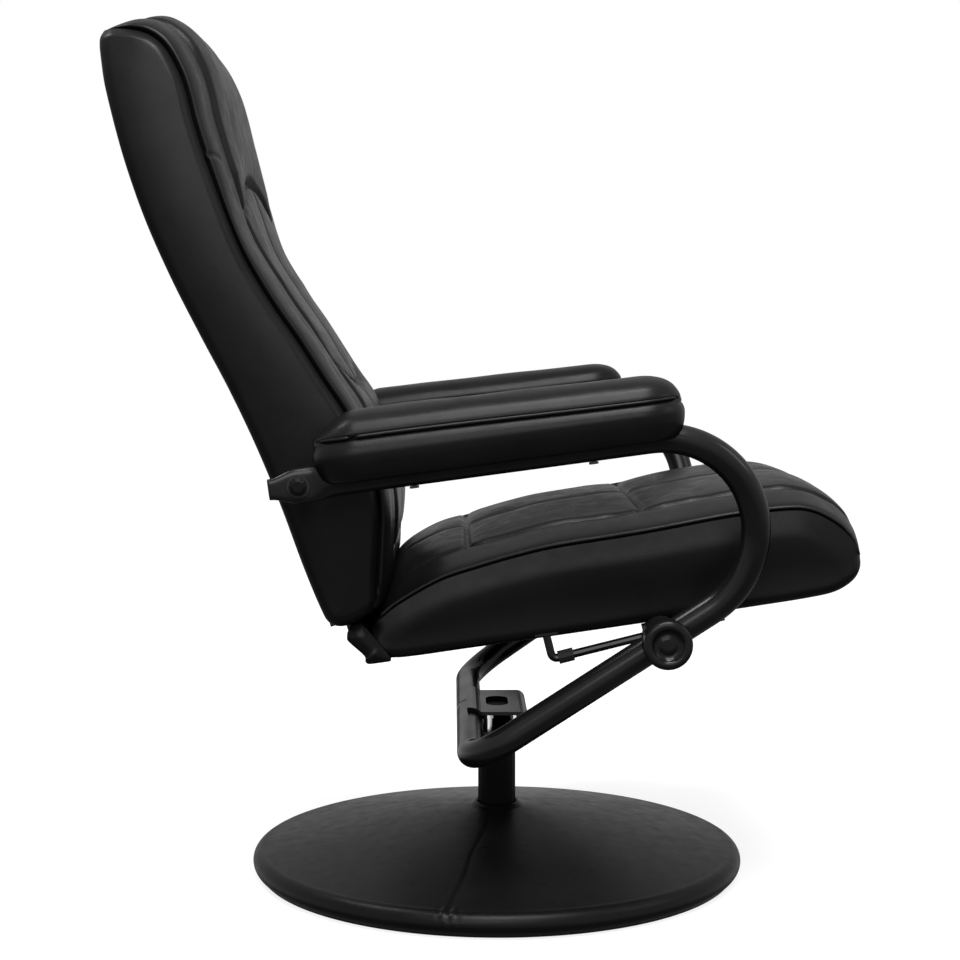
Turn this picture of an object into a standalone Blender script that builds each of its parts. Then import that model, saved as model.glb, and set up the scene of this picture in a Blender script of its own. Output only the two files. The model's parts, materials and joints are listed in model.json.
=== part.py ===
"""Recliner: leather-wrapped round base, swivel post, bent tube frame, reclining back and sliding seat.

Metres. +X is the way the sitter faces, +Y the sitter's left, +Z up.
The origin is on the floor, on the swivel axis.
"""

import math

import bmesh
import bpy
from mathutils import Matrix, Vector

# Clearances
GAP = 0.0003
RUNNING_GAP = 0.0005

# Base
BASE_RADIUS = 0.287
RIM_HEIGHT = 0.030
RIM_ROUND = 0.013
RIM_FOOT = 0.003
DOME_HEIGHT = 0.077
COVER_WALL = 0.010
COVER_LIFT = 0.002
COVER_LEDGE = 0.022
PLATE_INSET = 0.025
PLATE_THICK = 0.005
FLOOR_PAD_INSET = 0.037
FLOOR_PAD_THICK = 0.003
BASE_SIDES = 40

# Swivel post
POST_RADIUS = 0.022
POST_WALL = 0.003
POST_TOP = 0.165
POST_FOOT_RADIUS = 0.055
POST_FOOT_THICK = 0.006
SPINDLE_RADIUS = 0.015
SPINDLE_LENGTH = 0.145
BUSH_LENGTH = 0.022
BUSH_FLANGE = 0.002
LOWER_BUSH_Z = 0.060
WASHER_THICK = 0.0015
ROUND_SIDES = 20

# Bracket on the cross tube
BRACKET_WIDTH = 0.135
BRACKET_THICK = 0.004
BRACKET_REACH = 0.066
BRACKET_RISE = 0.012
LIP_DROP = 0.020
LIP_RADIUS = 0.008
SLOT_LENGTH = 0.058
SLOT_WIDTH = 0.026
FLANGE_LENGTH = 0.124
FLANGE_WIDTH = 0.049
FLANGE_THICK = 0.005
BOLT_RADIUS = 0.004
BOLT_HEAD_RADIUS = 0.0055
BOLT_HEAD_THICK = 0.005
BOLT_CENTRE_X = 0.0045
BOLT_SPACING_X = 0.030
BOLT_SPACING_Y = 0.100
NUT_THICK = 0.006
FASTENER_SIDES = 10

# Tube frame: each loop leans in below its arm
TUBE_RADIUS = 0.015
TUBE_WALL = 0.002
ARM_SPACING = 0.670
ARM_SLOPE = 7.6
LOOP_TILT = 12.5
RAKE = 33.9
CROSS_X = -0.0325
CROSS_Z = 0.185
PIVOT_X = -0.205
PIVOT_Z = 0.481
FRONT_BEND = 0.098
REAR_BEND = 0.060
TUBE_TAIL = 0.030
TAIL_HEIGHT = 0.022
LOBE_HEIGHT = 0.038
FLAT_THICK = 0.012
FLAT_AHEAD = 0.013
FLAT_RAMP = 0.021
JOINER_LENGTH = 0.120
TUBE_SIDES = 14

# Arm pads
PAD_START = 0.020
PAD_LENGTH = 0.368
PAD_WIDTH = 0.090
PAD_HEIGHT = 0.062
PAD_CROWN = 0.012
PAD_END_ROUND = 0.045
ARM_BOARD_LENGTH = 0.260
ARM_BOARD_WIDTH = 0.050
ARM_BOARD_THICK = 0.008
ARM_SCREW_RADIUS = 0.0025
ARM_SCREW_HEAD = 0.005
ARM_SCREW_SPACING = 0.180
ARM_SCREW_BITE = 0.005

# Seat, in its own plane: along from the rear bottom corner, up from the board
SEAT_X = -0.1216
SEAT_Z = 0.2952
SEAT_SLOPE = 8.1
SEAT_WIDTH = 0.500
SEAT_EDGE = (
    (-0.009, 0.031),
    (0.0, 0.0385),
    (0.022, 0.0515),
    (0.067, 0.069),
    (0.110, 0.077),
    (0.153, 0.083),
    (0.196, 0.0865),
    (0.285, 0.088),
    (0.376, 0.092),
    (0.436, 0.091),
    (0.463, 0.085),
    (0.485, 0.069),
    (0.4985, 0.051),
    (0.506, 0.032),
)
SEAT_UNDERSIDE = ((0.502, 0.016), (0.491, 0.005), (0.477, 0.0), (0.0, 0.0))
SEAT_BOARD_START = 0.020
SEAT_BOARD_LENGTH = 0.440
SEAT_BOARD_THICK = 0.014
SEAT_BOARD_MARGIN = 0.008
SEAT_CROWN = 0.020
SEAT_PUFF = 0.010
SEAT_SEAMS = (0.0, 0.115, 0.310, 0.530)
SEAT_REAR_EASE = 0.060
SEAT_FRONT_EASE = 0.080
SIDE_ROUND = 0.006

# Backrest, along its rear surface from the bottom: lean from upright and depth of the side panel
BACK_X = -0.184
BACK_Z = 0.3285
BACK_LENGTH = 0.659
BACK_WIDTH = 0.540
BACK_TOP_WIDTH = 0.500
BACK_LEAN = (
    (0.0, 18.0),
    (0.2, 20.5),
    (0.35, 25.5),
    (0.48, 28.5),
    (0.6, 26.0),
    (0.72, 20.0),
    (0.85, 15.0),
    (0.95, 8.0),
    (1.0, 0.0),
)
BACK_DEPTH = (
    (0.0, 0.053),
    (0.08, 0.074),
    (0.17, 0.100),
    (0.3, 0.096),
    (0.4, 0.0865),
    (0.5, 0.0795),
    (0.6, 0.077),
    (0.7, 0.079),
    (0.88, 0.0785),
    (0.94, 0.0728),
    (0.97, 0.066),
    (1.0, 0.053),
)
BACK_TOP_CROWN = 0.018
BACK_CROWN_START = 0.82
BACK_CROWN_REACH = 0.25
BACK_WALL = 0.018
BACK_BOARD_THICK = 0.008
BACK_BOARD_LOW = 0.015
BACK_BOARD_TOP = 0.028
BACK_CROWN = 0.008
BACK_PUFF = 0.007
HEADREST_PUFF = 0.014
BACK_SEAMS = (0.14, 0.43, 0.70)
HEADREST_SPAN = (0.745, 1.0)
HOOP_RADIUS = 0.007
HOOP_DEPTH = 0.060
HOOP_LOW = 0.1186
HOOP_TOP = 0.0791
HOOP_CORNER = 0.045
HOOP_SIDES = 8

# Pivot between arm and backrest
PIVOT_BOLT_RADIUS = 0.005
PIVOT_HEAD_RADIUS = 0.009
PIVOT_HEAD_THICK = 0.005
PIVOT_WASHER_RADIUS = 0.0115
PIVOT_WASHER_THICK = 0.0015
PIVOT_SPACER_RADIUS = 0.011
PIVOT_PLATE_THICK = 0.004
PIVOT_PLATE_EDGE = 0.011
PIVOT_PLATE_LENGTH = 0.056
PIVOT_BOLT_TAIL = 0.008

# Hinge between backrest and seat
HINGE_BEHIND = 0.025
HINGE_ABOVE = 0.0256
HINGE_OUT = 0.225
STRAP_WIDTH = 0.020
STRAP_THICK = 0.004
SEAT_STRAP_LENGTH = 0.080
BACK_STRAP_LENGTH = 0.018
PIN_RADIUS = 0.005
PIN_OVERHANG = 0.002
EYE_SWEEP = 290.0

# Knob, clamp and guide rod
KNOB_X = 0.1655
KNOB_RADIUS = 0.025
KNOB_HEIGHT = 0.024
KNOB_HUB_RADIUS = 0.014
KNOB_DISH = 0.004
KNOB_RIM = 0.005
STUD_RADIUS = 0.004
STUD_DEPTH = 0.015
CLAMP_RADIUS = 0.020
CLAMP_INNER = 0.2545
CLAMP_LUG_INNER = 0.228
CLAMP_LUG_HALF = 0.016
CLAMP_LUG_TOP = 0.0115
CLAMP_LUG_BOTTOM = 0.0155
CLAMP_PLAY = 0.0042
ROD_RADIUS = 0.0045
ROD_OUT = 0.240
ROD_SLOPE = 14.0
ROD_REAR = 0.116
ROD_FRONT = 0.070
ROD_BEND = 0.006
ROD_FOOT_LENGTH = 0.024
ROD_FOOT_WIDTH = 0.018
ROD_FOOT_THICK = 0.0025
STOP_RADIUS = 0.007
STOP_LENGTH = 0.0165
STOP_REAR = 0.1095

# Finish: colour, roughness, metallic
FINISHES = {
    "leather": ((0.018, 0.018, 0.019), 0.42, 0.0),
    "black_paint": ((0.012, 0.012, 0.013), 0.35, 0.0),
    "black_plastic": ((0.015, 0.015, 0.016), 0.40, 0.0),
    "steel": ((0.55, 0.55, 0.56), 0.30, 1.0),
    "plywood": ((0.52, 0.36, 0.20), 0.60, 0.0),
    "nylon": ((0.70, 0.69, 0.64), 0.50, 0.0),
    "rubber": ((0.02, 0.02, 0.02), 0.80, 0.0),
}

RIGHT = -1
LEFT = 1
SIDES = {"right": RIGHT, "left": LEFT}

PLATE_RADIUS = BASE_RADIUS - PLATE_INSET
FLOOR_PAD_RADIUS = BASE_RADIUS - FLOOR_PAD_INSET
ARM_OUT = ARM_SPACING / 2
BRACKET_TOP = CROSS_Z + BRACKET_RISE + BRACKET_THICK / 2
BRACKET_UNDER = BRACKET_TOP - BRACKET_THICK
SPINDLE_TOP = BRACKET_UNDER - GAP
FLANGE_UNDER = POST_TOP + GAP + BUSH_FLANGE + GAP + WASHER_THICK + GAP
PLATE_TOP = FLOOR_PAD_THICK + GAP + PLATE_THICK


def clear_scene():
    for item in list(bpy.data.objects):
        bpy.data.objects.remove(item, do_unlink=True)


def finish(name):
    """Principled material of a named finish, made once."""
    known = bpy.data.materials.get(name)
    if known:
        return known
    colour, roughness, metallic = FINISHES[name]
    material = bpy.data.materials.new(name)
    material.use_nodes = True
    shader = material.node_tree.nodes["Principled BSDF"]
    shader.inputs["Base Color"].default_value = (*colour, 1.0)
    shader.inputs["Roughness"].default_value = roughness
    shader.inputs["Metallic"].default_value = metallic
    return material


def empty(name, place, parent=None):
    """An empty on a joint's axis, given in world coordinates."""
    marker = bpy.data.objects.new(name, None)
    bpy.context.scene.collection.objects.link(marker)
    marker["world_place"] = list(place)
    marker.parent = parent
    above = Vector(parent["world_place"]) if parent else Vector()
    marker.location = Vector(place) - above
    return marker


def cap(bm, loop, ladder):
    """End face of a loft; a ladder joins the points that face each other, for ends that aren't flat."""
    if not ladder:
        bm.faces.new(loop)
        return
    for i in range(len(loop) // 2 - 1):
        bm.faces.new((loop[i], loop[i + 1], loop[-2 - i], loop[-1 - i]))


def loft(name, rings, look=None, body=None, closed=False, ladder=False):
    """Closed solid through rings of points; ends are capped unless the rings close on themselves."""
    mesh = bpy.data.meshes.new(name)
    bm = bmesh.new()
    loops = [[bm.verts.new(point) for point in ring] for ring in rings]
    count = len(rings[0])
    pairs = list(zip(loops, loops[1:]))
    if closed:
        pairs.append((loops[-1], loops[0]))
    for low, high in pairs:
        for i in range(count):
            j = (i + 1) % count
            bm.faces.new((low[i], low[j], high[j], high[i]))
    if not closed:
        cap(bm, loops[0], ladder)
        cap(bm, loops[-1], ladder)
    bmesh.ops.recalc_face_normals(bm, faces=bm.faces)
    bm.to_mesh(mesh)
    bm.free()
    return place(name, mesh, look, body)


def place(name, mesh, look, body):
    """Object for a mesh built in world coordinates; without a body it is a hidden cutter."""
    piece = bpy.data.objects.new(name, mesh)
    bpy.context.scene.collection.objects.link(piece)
    if body is None:
        piece.hide_render = True
        piece.display_type = "WIRE"
        return piece
    mesh.transform(Matrix.Translation(-Vector(body["world_place"])))
    piece.parent = body
    mesh.materials.append(finish(look))
    mesh.shade_smooth()
    mesh.set_sharp_from_angle(angle=math.radians(35))
    return piece


def boolean(piece, tool, operation="DIFFERENCE"):
    change = piece.modifiers.new(tool.name, "BOOLEAN")
    change.object = tool
    change.operation = operation
    change.solver = "EXACT"


def between(keys, fraction):
    """Value at a fraction, linear between (fraction, value) keys."""
    for (low, start), (high, end) in zip(keys, keys[1:]):
        if fraction <= high:
            return start + (end - start) * (fraction - low) / (high - low)
    return keys[-1][1]


def circle(centre, first, second, radius, sides, other=None):
    """Ring of points round a centre, in the plane of two unit vectors."""
    other = radius if other is None else other
    turn = [2 * math.pi * k / sides for k in range(sides)]
    return [centre + first * (radius * math.cos(a)) + second * (other * math.sin(a)) for a in turn]


X = Vector((1, 0, 0))
Y = Vector((0, 1, 0))
Z = Vector((0, 0, 1))


def turned(name, profile, look=None, body=None, centre=Vector(), axis=Z, sides=ROUND_SIDES, closed=False):
    """Solid turned about an axis from (radius, distance along the axis) points."""
    first = X if axis is not X else Y
    second = axis.cross(first)
    rings = [circle(centre + axis * height, first, second, radius, sides) for radius, height in profile]
    return loft(name, rings, look, body, closed)


def rod_between(name, start, end, radius, look=None, body=None, sides=FASTENER_SIDES):
    axis = (end - start).normalized()
    first = axis.orthogonal().normalized()
    second = axis.cross(first)
    rings = [circle(point, first, second, radius, sides) for point in (start, end)]
    return loft(name, rings, look, body)


def ring_tube(inner, outer, low, high):
    """Closed profile of a plain ring."""
    return [(outer, low), (outer, high), (inner, high), (inner, low)]


def upright(point, y):
    """World point from an (x, z) pair at a side distance."""
    return Vector((point[0], y, point[1]))


def prism(name, outline, low, high, look=None, body=None):
    """Solid between two side distances from an (x, z) outline."""
    rings = [[upright(point, y) for point in outline] for y in (low, high)]
    return loft(name, rings, look, body)


def strip(path, thick):
    """Outline of a bent strip of even thickness along an (x, z) path."""
    points = [Vector(point) for point in path]
    left = []
    right = []
    for i, point in enumerate(points):
        before = (point - points[i - 1]).normalized() if i else None
        after = (points[i + 1] - point).normalized() if i + 1 < len(points) else None
        along = (before or after) + (after or before)
        along.normalize()
        normal = Vector((-along.y, along.x))
        square = before or after
        reach = thick / 2 / normal.dot(Vector((-square.y, square.x)))
        left.append(point + normal * reach)
        right.append(point - normal * reach)
    return left + right[::-1]


def arc(centre, radius, start, end, steps):
    """(x, z) points on an arc, angles in degrees."""
    angles = [math.radians(start + (end - start) * k / steps) for k in range(steps + 1)]
    return [(centre[0] + radius * math.cos(a), centre[1] + radius * math.sin(a)) for a in angles]


def plane(origin, slope):
    """Function from (along, up) in a tilted side plane to (x, z)."""
    angle = math.radians(slope)
    along = Vector((math.cos(angle), math.sin(angle)))
    up = Vector((-math.sin(angle), math.cos(angle)))

    def to_world(a, u):
        return Vector(origin) + along * a + up * u

    return to_world


PIVOT = (PIVOT_X, PIVOT_Z)
CROSS = (CROSS_X, CROSS_Z)
on_arm = plane(PIVOT, ARM_SLOPE)
on_rake = plane(CROSS, RAKE)
on_seat = plane((SEAT_X, SEAT_Z), SEAT_SLOPE)
HINGE = on_seat(-HINGE_BEHIND, HINGE_ABOVE)
KNOB_ALONG = (KNOB_X - CROSS_X) / math.cos(math.radians(RAKE))
KNOB = on_rake(KNOB_ALONG, 0.0)
on_rod = plane(KNOB, ROD_SLOPE)


def loop_out(point):
    """Side distance of a tube loop at an (x, z) point."""
    arm = math.radians(ARM_SLOPE)
    above_arm = (Vector(point) - Vector(PIVOT)).dot(Vector((-math.sin(arm), math.cos(arm))))
    return ARM_OUT + above_arm * math.tan(math.radians(LOOP_TILT))


KNOB_OUT = loop_out(KNOB)
LOOP_LEAN = loop_out(on_rake(1.0, 0.0)) - loop_out(CROSS)
TUBE_REACH = TUBE_RADIUS * math.hypot(1.0, LOOP_LEAN)


def fillet(before, corner, after, radius, steps):
    """Points round a bend at a corner between two straight runs."""
    first = (before - corner).normalized()
    second = (after - corner).normalized()
    half = first.angle(second) / 2
    centre = corner + (first + second).normalized() * (radius / math.sin(half))
    start = corner + first * (radius / math.tan(half)) - centre
    end = corner + second * (radius / math.tan(half)) - centre
    turn = start.angle(end)
    points = []
    for k in range(steps + 1):
        swept = turn * k / steps
        points.append(centre + (start * math.sin(turn - swept) + end * math.sin(swept)) / math.sin(turn))
    return points


def front_bend_centre():
    """Centre of the front bend, one bend radius below the arm line and above the rake line."""
    arm = math.radians(ARM_SLOPE)
    rake = math.radians(RAKE)
    arm_up = Vector((-math.sin(arm), math.cos(arm)))
    rake_up = Vector((-math.sin(rake), math.cos(rake)))
    low_arm = Vector(PIVOT).dot(arm_up) - FRONT_BEND
    high_rake = Vector(CROSS).dot(rake_up) + FRONT_BEND
    span = arm_up.x * rake_up.y - arm_up.y * rake_up.x
    x = (low_arm * rake_up.y - arm_up.y * high_rake) / span
    z = (arm_up.x * high_rake - low_arm * rake_up.x) / span
    return Vector((x, z))


def tube_sections(side):
    """Centre, half width and half height along one half of the frame tube, from arm end to cross tube."""
    steps = 4
    flat = []
    for k in range(steps + 1):
        share = k / steps
        ease = math.sin(share * math.pi / 2)
        height = TAIL_HEIGHT / 2 + (LOBE_HEIGHT - TAIL_HEIGHT) / 2 * ease
        flat.append((on_arm(-TUBE_TAIL * (1 - share), 0), FLAT_THICK / 2, height))
    for k in range(steps + 1):
        ease = (1 - math.cos(k / steps * math.pi)) / 2
        width = FLAT_THICK / 2 + (TUBE_RADIUS - FLAT_THICK / 2) * ease
        height = LOBE_HEIGHT / 2 + (TUBE_RADIUS - LOBE_HEIGHT / 2) * ease
        flat.append((on_arm(FLAT_AHEAD + FLAT_RAMP * k / steps, 0), width, height))
    sections = [(upright(point, side * ARM_OUT), width, height) for point, width, height in flat]
    bend = arc(front_bend_centre(), FRONT_BEND, 90 + ARM_SLOPE, RAKE - 90, 12)
    up_rake, corner = (upright(point, side * loop_out(point)) for point in (KNOB, CROSS))
    rear = fillet(up_rake, corner, upright(CROSS, 0), REAR_BEND, 7)
    route = [upright(point, side * loop_out(point)) for point in bend]
    route += rear + [upright(CROSS, side * GAP / 2)]
    return sections + [(point, TUBE_RADIUS, TUBE_RADIUS) for point in route]


def tube_rings(sections, grow):
    """Rings of the tube with its radius changed by grow, carried along the route without twist."""
    points = [section[0] for section in sections]
    sideways = Y.copy()
    rings = []
    for i, (point, width, height) in enumerate(sections):
        before = points[max(i - 1, 0)]
        after = points[min(i + 1, len(points) - 1)]
        along = (after - before).normalized()
        sideways = (sideways - along * sideways.dot(along)).normalized()
        upward = along.cross(sideways)
        rings.append(circle(point, sideways, upward, width + grow, TUBE_SIDES, height + grow))
    return rings


def make_bodies():
    """One empty for each moving body, on its joint's axis."""
    base = empty("base_body", (0, 0, 0))
    frame = empty("frame_body", (0, 0, 0), base)
    back = empty("back_body", upright(PIVOT, 0), frame)
    seat = empty("seat_body", upright(HINGE, 0), back)
    bodies = {"base": base, "frame": frame, "back": back, "seat": seat}
    for label, side in SIDES.items():
        bodies[f"clamp_{label}"] = empty(f"clamp_body_{label}", upright(KNOB, side * CLAMP_INNER), frame)
        bodies[f"knob_{label}"] = empty(f"knob_body_{label}", upright(KNOB, side * KNOB_OUT), frame)
    return bodies


def make_base(base):
    pad = [(FLOOR_PAD_RADIUS, 0.0), (FLOOR_PAD_RADIUS, FLOOR_PAD_THICK)]
    turned("floor_pad", pad, "rubber", base, sides=BASE_SIDES)
    disc = [(PLATE_RADIUS, FLOOR_PAD_THICK + GAP), (PLATE_RADIUS, PLATE_TOP)]
    turned("base_plate", disc, "steel", base, sides=BASE_SIDES)
    cover_hole = POST_RADIUS + RUNNING_GAP
    rim_start = BASE_RADIUS - RIM_ROUND
    slope = (DOME_HEIGHT - RIM_HEIGHT) / (rim_start - cover_hole)
    rim_inner = PLATE_RADIUS + RUNNING_GAP
    ledge = rim_inner - COVER_LEDGE
    ledge_roof = DOME_HEIGHT - COVER_WALL - slope * (ledge - cover_hole)
    seat = PLATE_TOP + GAP
    rim = [(BASE_RADIUS - RIM_FOOT, COVER_LIFT), (BASE_RADIUS, COVER_LIFT + RIM_FOOT)]
    rim += arc((rim_start, RIM_HEIGHT - RIM_ROUND), RIM_ROUND, 0, 90, 5)
    roof = [(cover_hole, DOME_HEIGHT), (cover_hole, DOME_HEIGHT - COVER_WALL)]
    under = [(ledge, ledge_roof), (ledge, seat), (rim_inner, seat), (rim_inner, COVER_LIFT)]
    turned("base_cover", rim + roof + under, "leather", base, sides=BASE_SIDES, closed=True)


def make_post(base, frame):
    bore = POST_RADIUS - POST_WALL
    foot = PLATE_TOP + GAP
    post = [
        (POST_FOOT_RADIUS, foot),
        (POST_FOOT_RADIUS, foot + POST_FOOT_THICK),
        (POST_RADIUS, foot + POST_FOOT_THICK),
        (POST_RADIUS, POST_TOP),
        (bore, POST_TOP),
        (bore, foot),
    ]
    turned("base_post", post, "black_paint", base, closed=True)
    hole = SPINDLE_RADIUS + RUNNING_GAP
    fit = bore - GAP
    lower = ring_tube(hole, fit, LOWER_BUSH_Z, LOWER_BUSH_Z + BUSH_LENGTH)
    turned("lower_swivel_bush", lower, "nylon", base, closed=True)
    rest = POST_TOP + GAP
    upper = [
        (fit, rest - BUSH_LENGTH),
        (fit, rest),
        (POST_RADIUS, rest),
        (POST_RADIUS, rest + BUSH_FLANGE),
        (hole, rest + BUSH_FLANGE),
        (hole, rest - BUSH_LENGTH),
    ]
    turned("upper_swivel_bush", upper, "nylon", base, closed=True)
    washer_low = rest + BUSH_FLANGE + GAP
    washer = ring_tube(hole, POST_RADIUS, washer_low, washer_low + WASHER_THICK)
    turned("thrust_washer", washer, "steel", frame, closed=True)
    spindle = [(SPINDLE_RADIUS, SPINDLE_TOP - SPINDLE_LENGTH), (SPINDLE_RADIUS, SPINDLE_TOP)]
    turned("swivel_spindle", spindle, "black_paint", frame)


def bolt_places():
    rows = (BOLT_CENTRE_X - BOLT_SPACING_X / 2, BOLT_CENTRE_X + BOLT_SPACING_X / 2)
    return [(x, side * BOLT_SPACING_Y / 2) for x in rows for side in SIDES.values()]


def make_bracket(frame):
    """Bent plate that saddles the cross tube, bolted to a flange on the spindle."""
    saddle_radius = TUBE_RADIUS + GAP + BRACKET_THICK / 2
    level = CROSS_Z + BRACKET_RISE
    front = CROSS_X + BRACKET_REACH
    meet = math.degrees(math.asin(BRACKET_RISE / saddle_radius))
    saddle = arc(CROSS, saddle_radius, 100, meet, 5)
    lip = arc((front - LIP_RADIUS, level - LIP_RADIUS), LIP_RADIUS, 90, 0, 4)
    path = saddle + lip + [(front, level - LIP_DROP)]
    half = BRACKET_WIDTH / 2
    bracket = prism("frame_bracket", strip(path, BRACKET_THICK), -half, half, "black_paint", frame)
    slot_half = SLOT_LENGTH / 2 - SLOT_WIDTH / 2
    ends = [math.radians(180 * k / 6) for k in range(7)]
    far = [(SLOT_WIDTH / 2 * math.cos(a), slot_half + SLOT_WIDTH / 2 * math.sin(a)) for a in ends]
    slot = far + [(-x, -y) for x, y in far]
    levels = (BRACKET_UNDER - BRACKET_THICK, BRACKET_TOP + BRACKET_THICK)
    boolean(bracket, loft("bracket_slot", [[Vector((x, y, z)) for x, y in slot] for z in levels]))
    flange_top = FLANGE_UNDER + FLANGE_THICK
    corner = [(sx * FLANGE_WIDTH / 2, sy * FLANGE_LENGTH / 2) for sx, sy in ((1, 1), (-1, 1), (-1, -1), (1, -1))]
    flange_rings = [[Vector((BOLT_CENTRE_X + x, y, z)) for x, y in corner] for z in (FLANGE_UNDER, flange_top)]
    flange = loft("spindle_flange", flange_rings, "black_paint", frame)
    deep = (FLANGE_UNDER - FLANGE_THICK, flange_top + FLANGE_THICK)
    boolean(flange, turned("spindle_hole", [(SPINDLE_RADIUS + GAP, z) for z in deep]))
    head = FLANGE_UNDER - GAP
    nut = BRACKET_UNDER - GAP
    for number, (x, y) in enumerate(bolt_places(), 1):
        centre = Vector((x, y, 0))
        bolt = [
            (BOLT_HEAD_RADIUS, head - BOLT_HEAD_THICK),
            (BOLT_HEAD_RADIUS, head),
            (BOLT_RADIUS, head),
            (BOLT_RADIUS, nut - NUT_THICK),
            (BOLT_HEAD_RADIUS, nut - NUT_THICK),
            (BOLT_HEAD_RADIUS, nut),
        ]
        turned(f"bracket_bolt_{number}", bolt, "steel", frame, centre, sides=FASTENER_SIDES)
        hole = [(BOLT_RADIUS + RUNNING_GAP, z) for z in deep]
        boolean(flange, turned(f"bolt_hole_{number}", hole, centre=centre, sides=FASTENER_SIDES))


def screw_places():
    middle = PAD_START + PAD_LENGTH / 2
    return {"rear": middle - ARM_SCREW_SPACING / 2, "front": middle + ARM_SCREW_SPACING / 2}


def make_tube(label, side, frame):
    """Half of the frame tube: hollow, with a flattened rear end that the pivot bolt passes through."""
    sections = tube_sections(side)
    round_start = next(i for i, section in enumerate(sections) if section[1] >= TUBE_RADIUS)
    outer = tube_rings(sections, 0.0)
    inner = tube_rings(sections, -TUBE_WALL)[round_start:]
    tube = loft(f"frame_tube_{label}", outer + inner[::-1], "black_paint", frame)
    reach = Y * (TUBE_RADIUS * 2)
    for name, at, radius in (("pivot", PIVOT, PIVOT_BOLT_RADIUS), ("stud", KNOB, STUD_RADIUS)):
        centre = upright(at, side * loop_out(at))
        hole = rod_between(f"{name}_hole_{label}", centre - reach, centre + reach, radius + RUNNING_GAP)
        boolean(tube, hole)
    for where, along in screw_places().items():
        low = upright(on_arm(along, -2 * TUBE_RADIUS), side * ARM_OUT)
        high = upright(on_arm(along, 2 * TUBE_RADIUS), side * ARM_OUT)
        boolean(tube, rod_between(f"screw_hole_{where}_{label}", low, high, ARM_SCREW_RADIUS + RUNNING_GAP))
    return sections


def make_joiner(frame):
    fit = TUBE_RADIUS - TUBE_WALL - RUNNING_GAP
    profile = ring_tube(fit - TUBE_WALL, fit, -JOINER_LENGTH / 2, JOINER_LENGTH / 2)
    turned("tube_joiner", profile, "black_paint", frame, upright(CROSS, 0), Y, TUBE_SIDES, True)


def pad_ring(along, shrink, side):
    """Section of an arm pad across the tube: flat underside, bulged sides, crowned top."""
    half = PAD_WIDTH / 2 - shrink
    top = PAD_HEIGHT - shrink
    edge = top - PAD_CROWN
    shape = [(half * 0.90, 0.0), (half * 0.98, edge * 0.30), (half, edge * 0.70), (half * 0.96, edge)]
    for k in range(1, 4):
        angle = math.radians(90 * k / 4)
        shape.append((half * 0.96 * math.cos(angle), edge + PAD_CROWN * math.sin(angle)))
    mirrored = [(-across, up) for across, up in reversed(shape)]
    ring = shape + [(0.0, top)] + mirrored
    return [upright(on_arm(along, up), side * ARM_OUT + across) for across, up in ring]


def make_arm(label, side, frame, sections):
    """Pad that straddles the tube, the board inside it and the two screws that hold it."""
    rings = []
    for k in range(13):
        share = k / 12
        along = PAD_START + PAD_LENGTH * (1 - math.cos(math.pi * share)) / 2
        from_end = min(along - PAD_START, PAD_START + PAD_LENGTH - along)
        inside = min(from_end / PAD_END_ROUND, 1.0)
        shrink = PAD_CROWN * (1 - math.sqrt(1 - (1 - inside) ** 2))
        rings.append(pad_ring(along, shrink, side))
    pad = loft(f"arm_pad_{label}", rings, "leather", frame)
    boolean(pad, loft(f"tube_groove_{label}", tube_rings(sections, RUNNING_GAP)))
    middle = PAD_START + PAD_LENGTH / 2
    low = TUBE_RADIUS + GAP

    def slab(name, extra, look=None, body=None):
        length = ARM_BOARD_LENGTH / 2 + extra
        outline = [on_arm(middle + sa * length, low - extra) for sa in (-1, 1)]
        outline += [on_arm(middle + sa * length, low + ARM_BOARD_THICK + extra) for sa in (1, -1)]
        half = ARM_BOARD_WIDTH / 2 + extra
        return prism(name, outline, side * ARM_OUT - half, side * ARM_OUT + half, look, body)

    board = slab(f"arm_board_{label}", 0.0, "plywood", frame)
    boolean(pad, slab(f"board_pocket_{label}", GAP))
    for where, along in screw_places().items():
        points = {}
        for key, up in (("head", -TUBE_RADIUS - ARM_SCREW_HEAD / 2), ("under", -TUBE_RADIUS - GAP),
                        ("tip", low + ARM_SCREW_BITE), ("deep", low + ARM_SCREW_BITE + GAP)):
            points[key] = upright(on_arm(along, up), side * ARM_OUT)
        axis = (points["tip"] - points["head"]).normalized()
        rings = []
        for key, radius in (("head", ARM_SCREW_HEAD), ("under", ARM_SCREW_HEAD),
                            ("under", ARM_SCREW_RADIUS), ("tip", ARM_SCREW_RADIUS)):
            rings.append(circle(points[key], Y, axis.cross(Y), radius, FASTENER_SIDES))
        loft(f"arm_screw_{where}_{label}", rings, "steel", frame)
        hole = ARM_SCREW_RADIUS + GAP
        bore = rod_between(f"board_hole_{where}_{label}", points["under"], points["deep"], hole)
        boolean(board, bore)
        boolean(pad, bore)


def back_curve(steps=40):
    """Places up the backrest: fraction, rear (x, z) point, forward normal and depth."""
    point = Vector((BACK_X, BACK_Z))
    places = []
    for k in range(steps + 1):
        fraction = k / steps
        lean = math.radians(between(BACK_LEAN, fraction))
        normal = Vector((math.cos(lean), math.sin(lean)))
        places.append((fraction, point.copy(), normal, between(BACK_DEPTH, fraction)))
        middle = math.radians(between(BACK_LEAN, min(fraction + 0.5 / steps, 1.0)))
        point += Vector((-math.sin(middle), math.cos(middle))) * (BACK_LENGTH / steps)
    return places


def back_point(fraction):
    """Rear point, normal and depth at a fraction of the backrest's length."""
    places = back_curve()
    position = min(max(fraction, 0.0), 1.0) * (len(places) - 1)
    low = min(int(position), len(places) - 2)
    share = position - low
    first = places[low]
    second = places[low + 1]
    point = first[1].lerp(second[1], share)
    normal = first[2].lerp(second[2], share).normalized()
    return point, normal, first[3] + (second[3] - first[3]) * share


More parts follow.
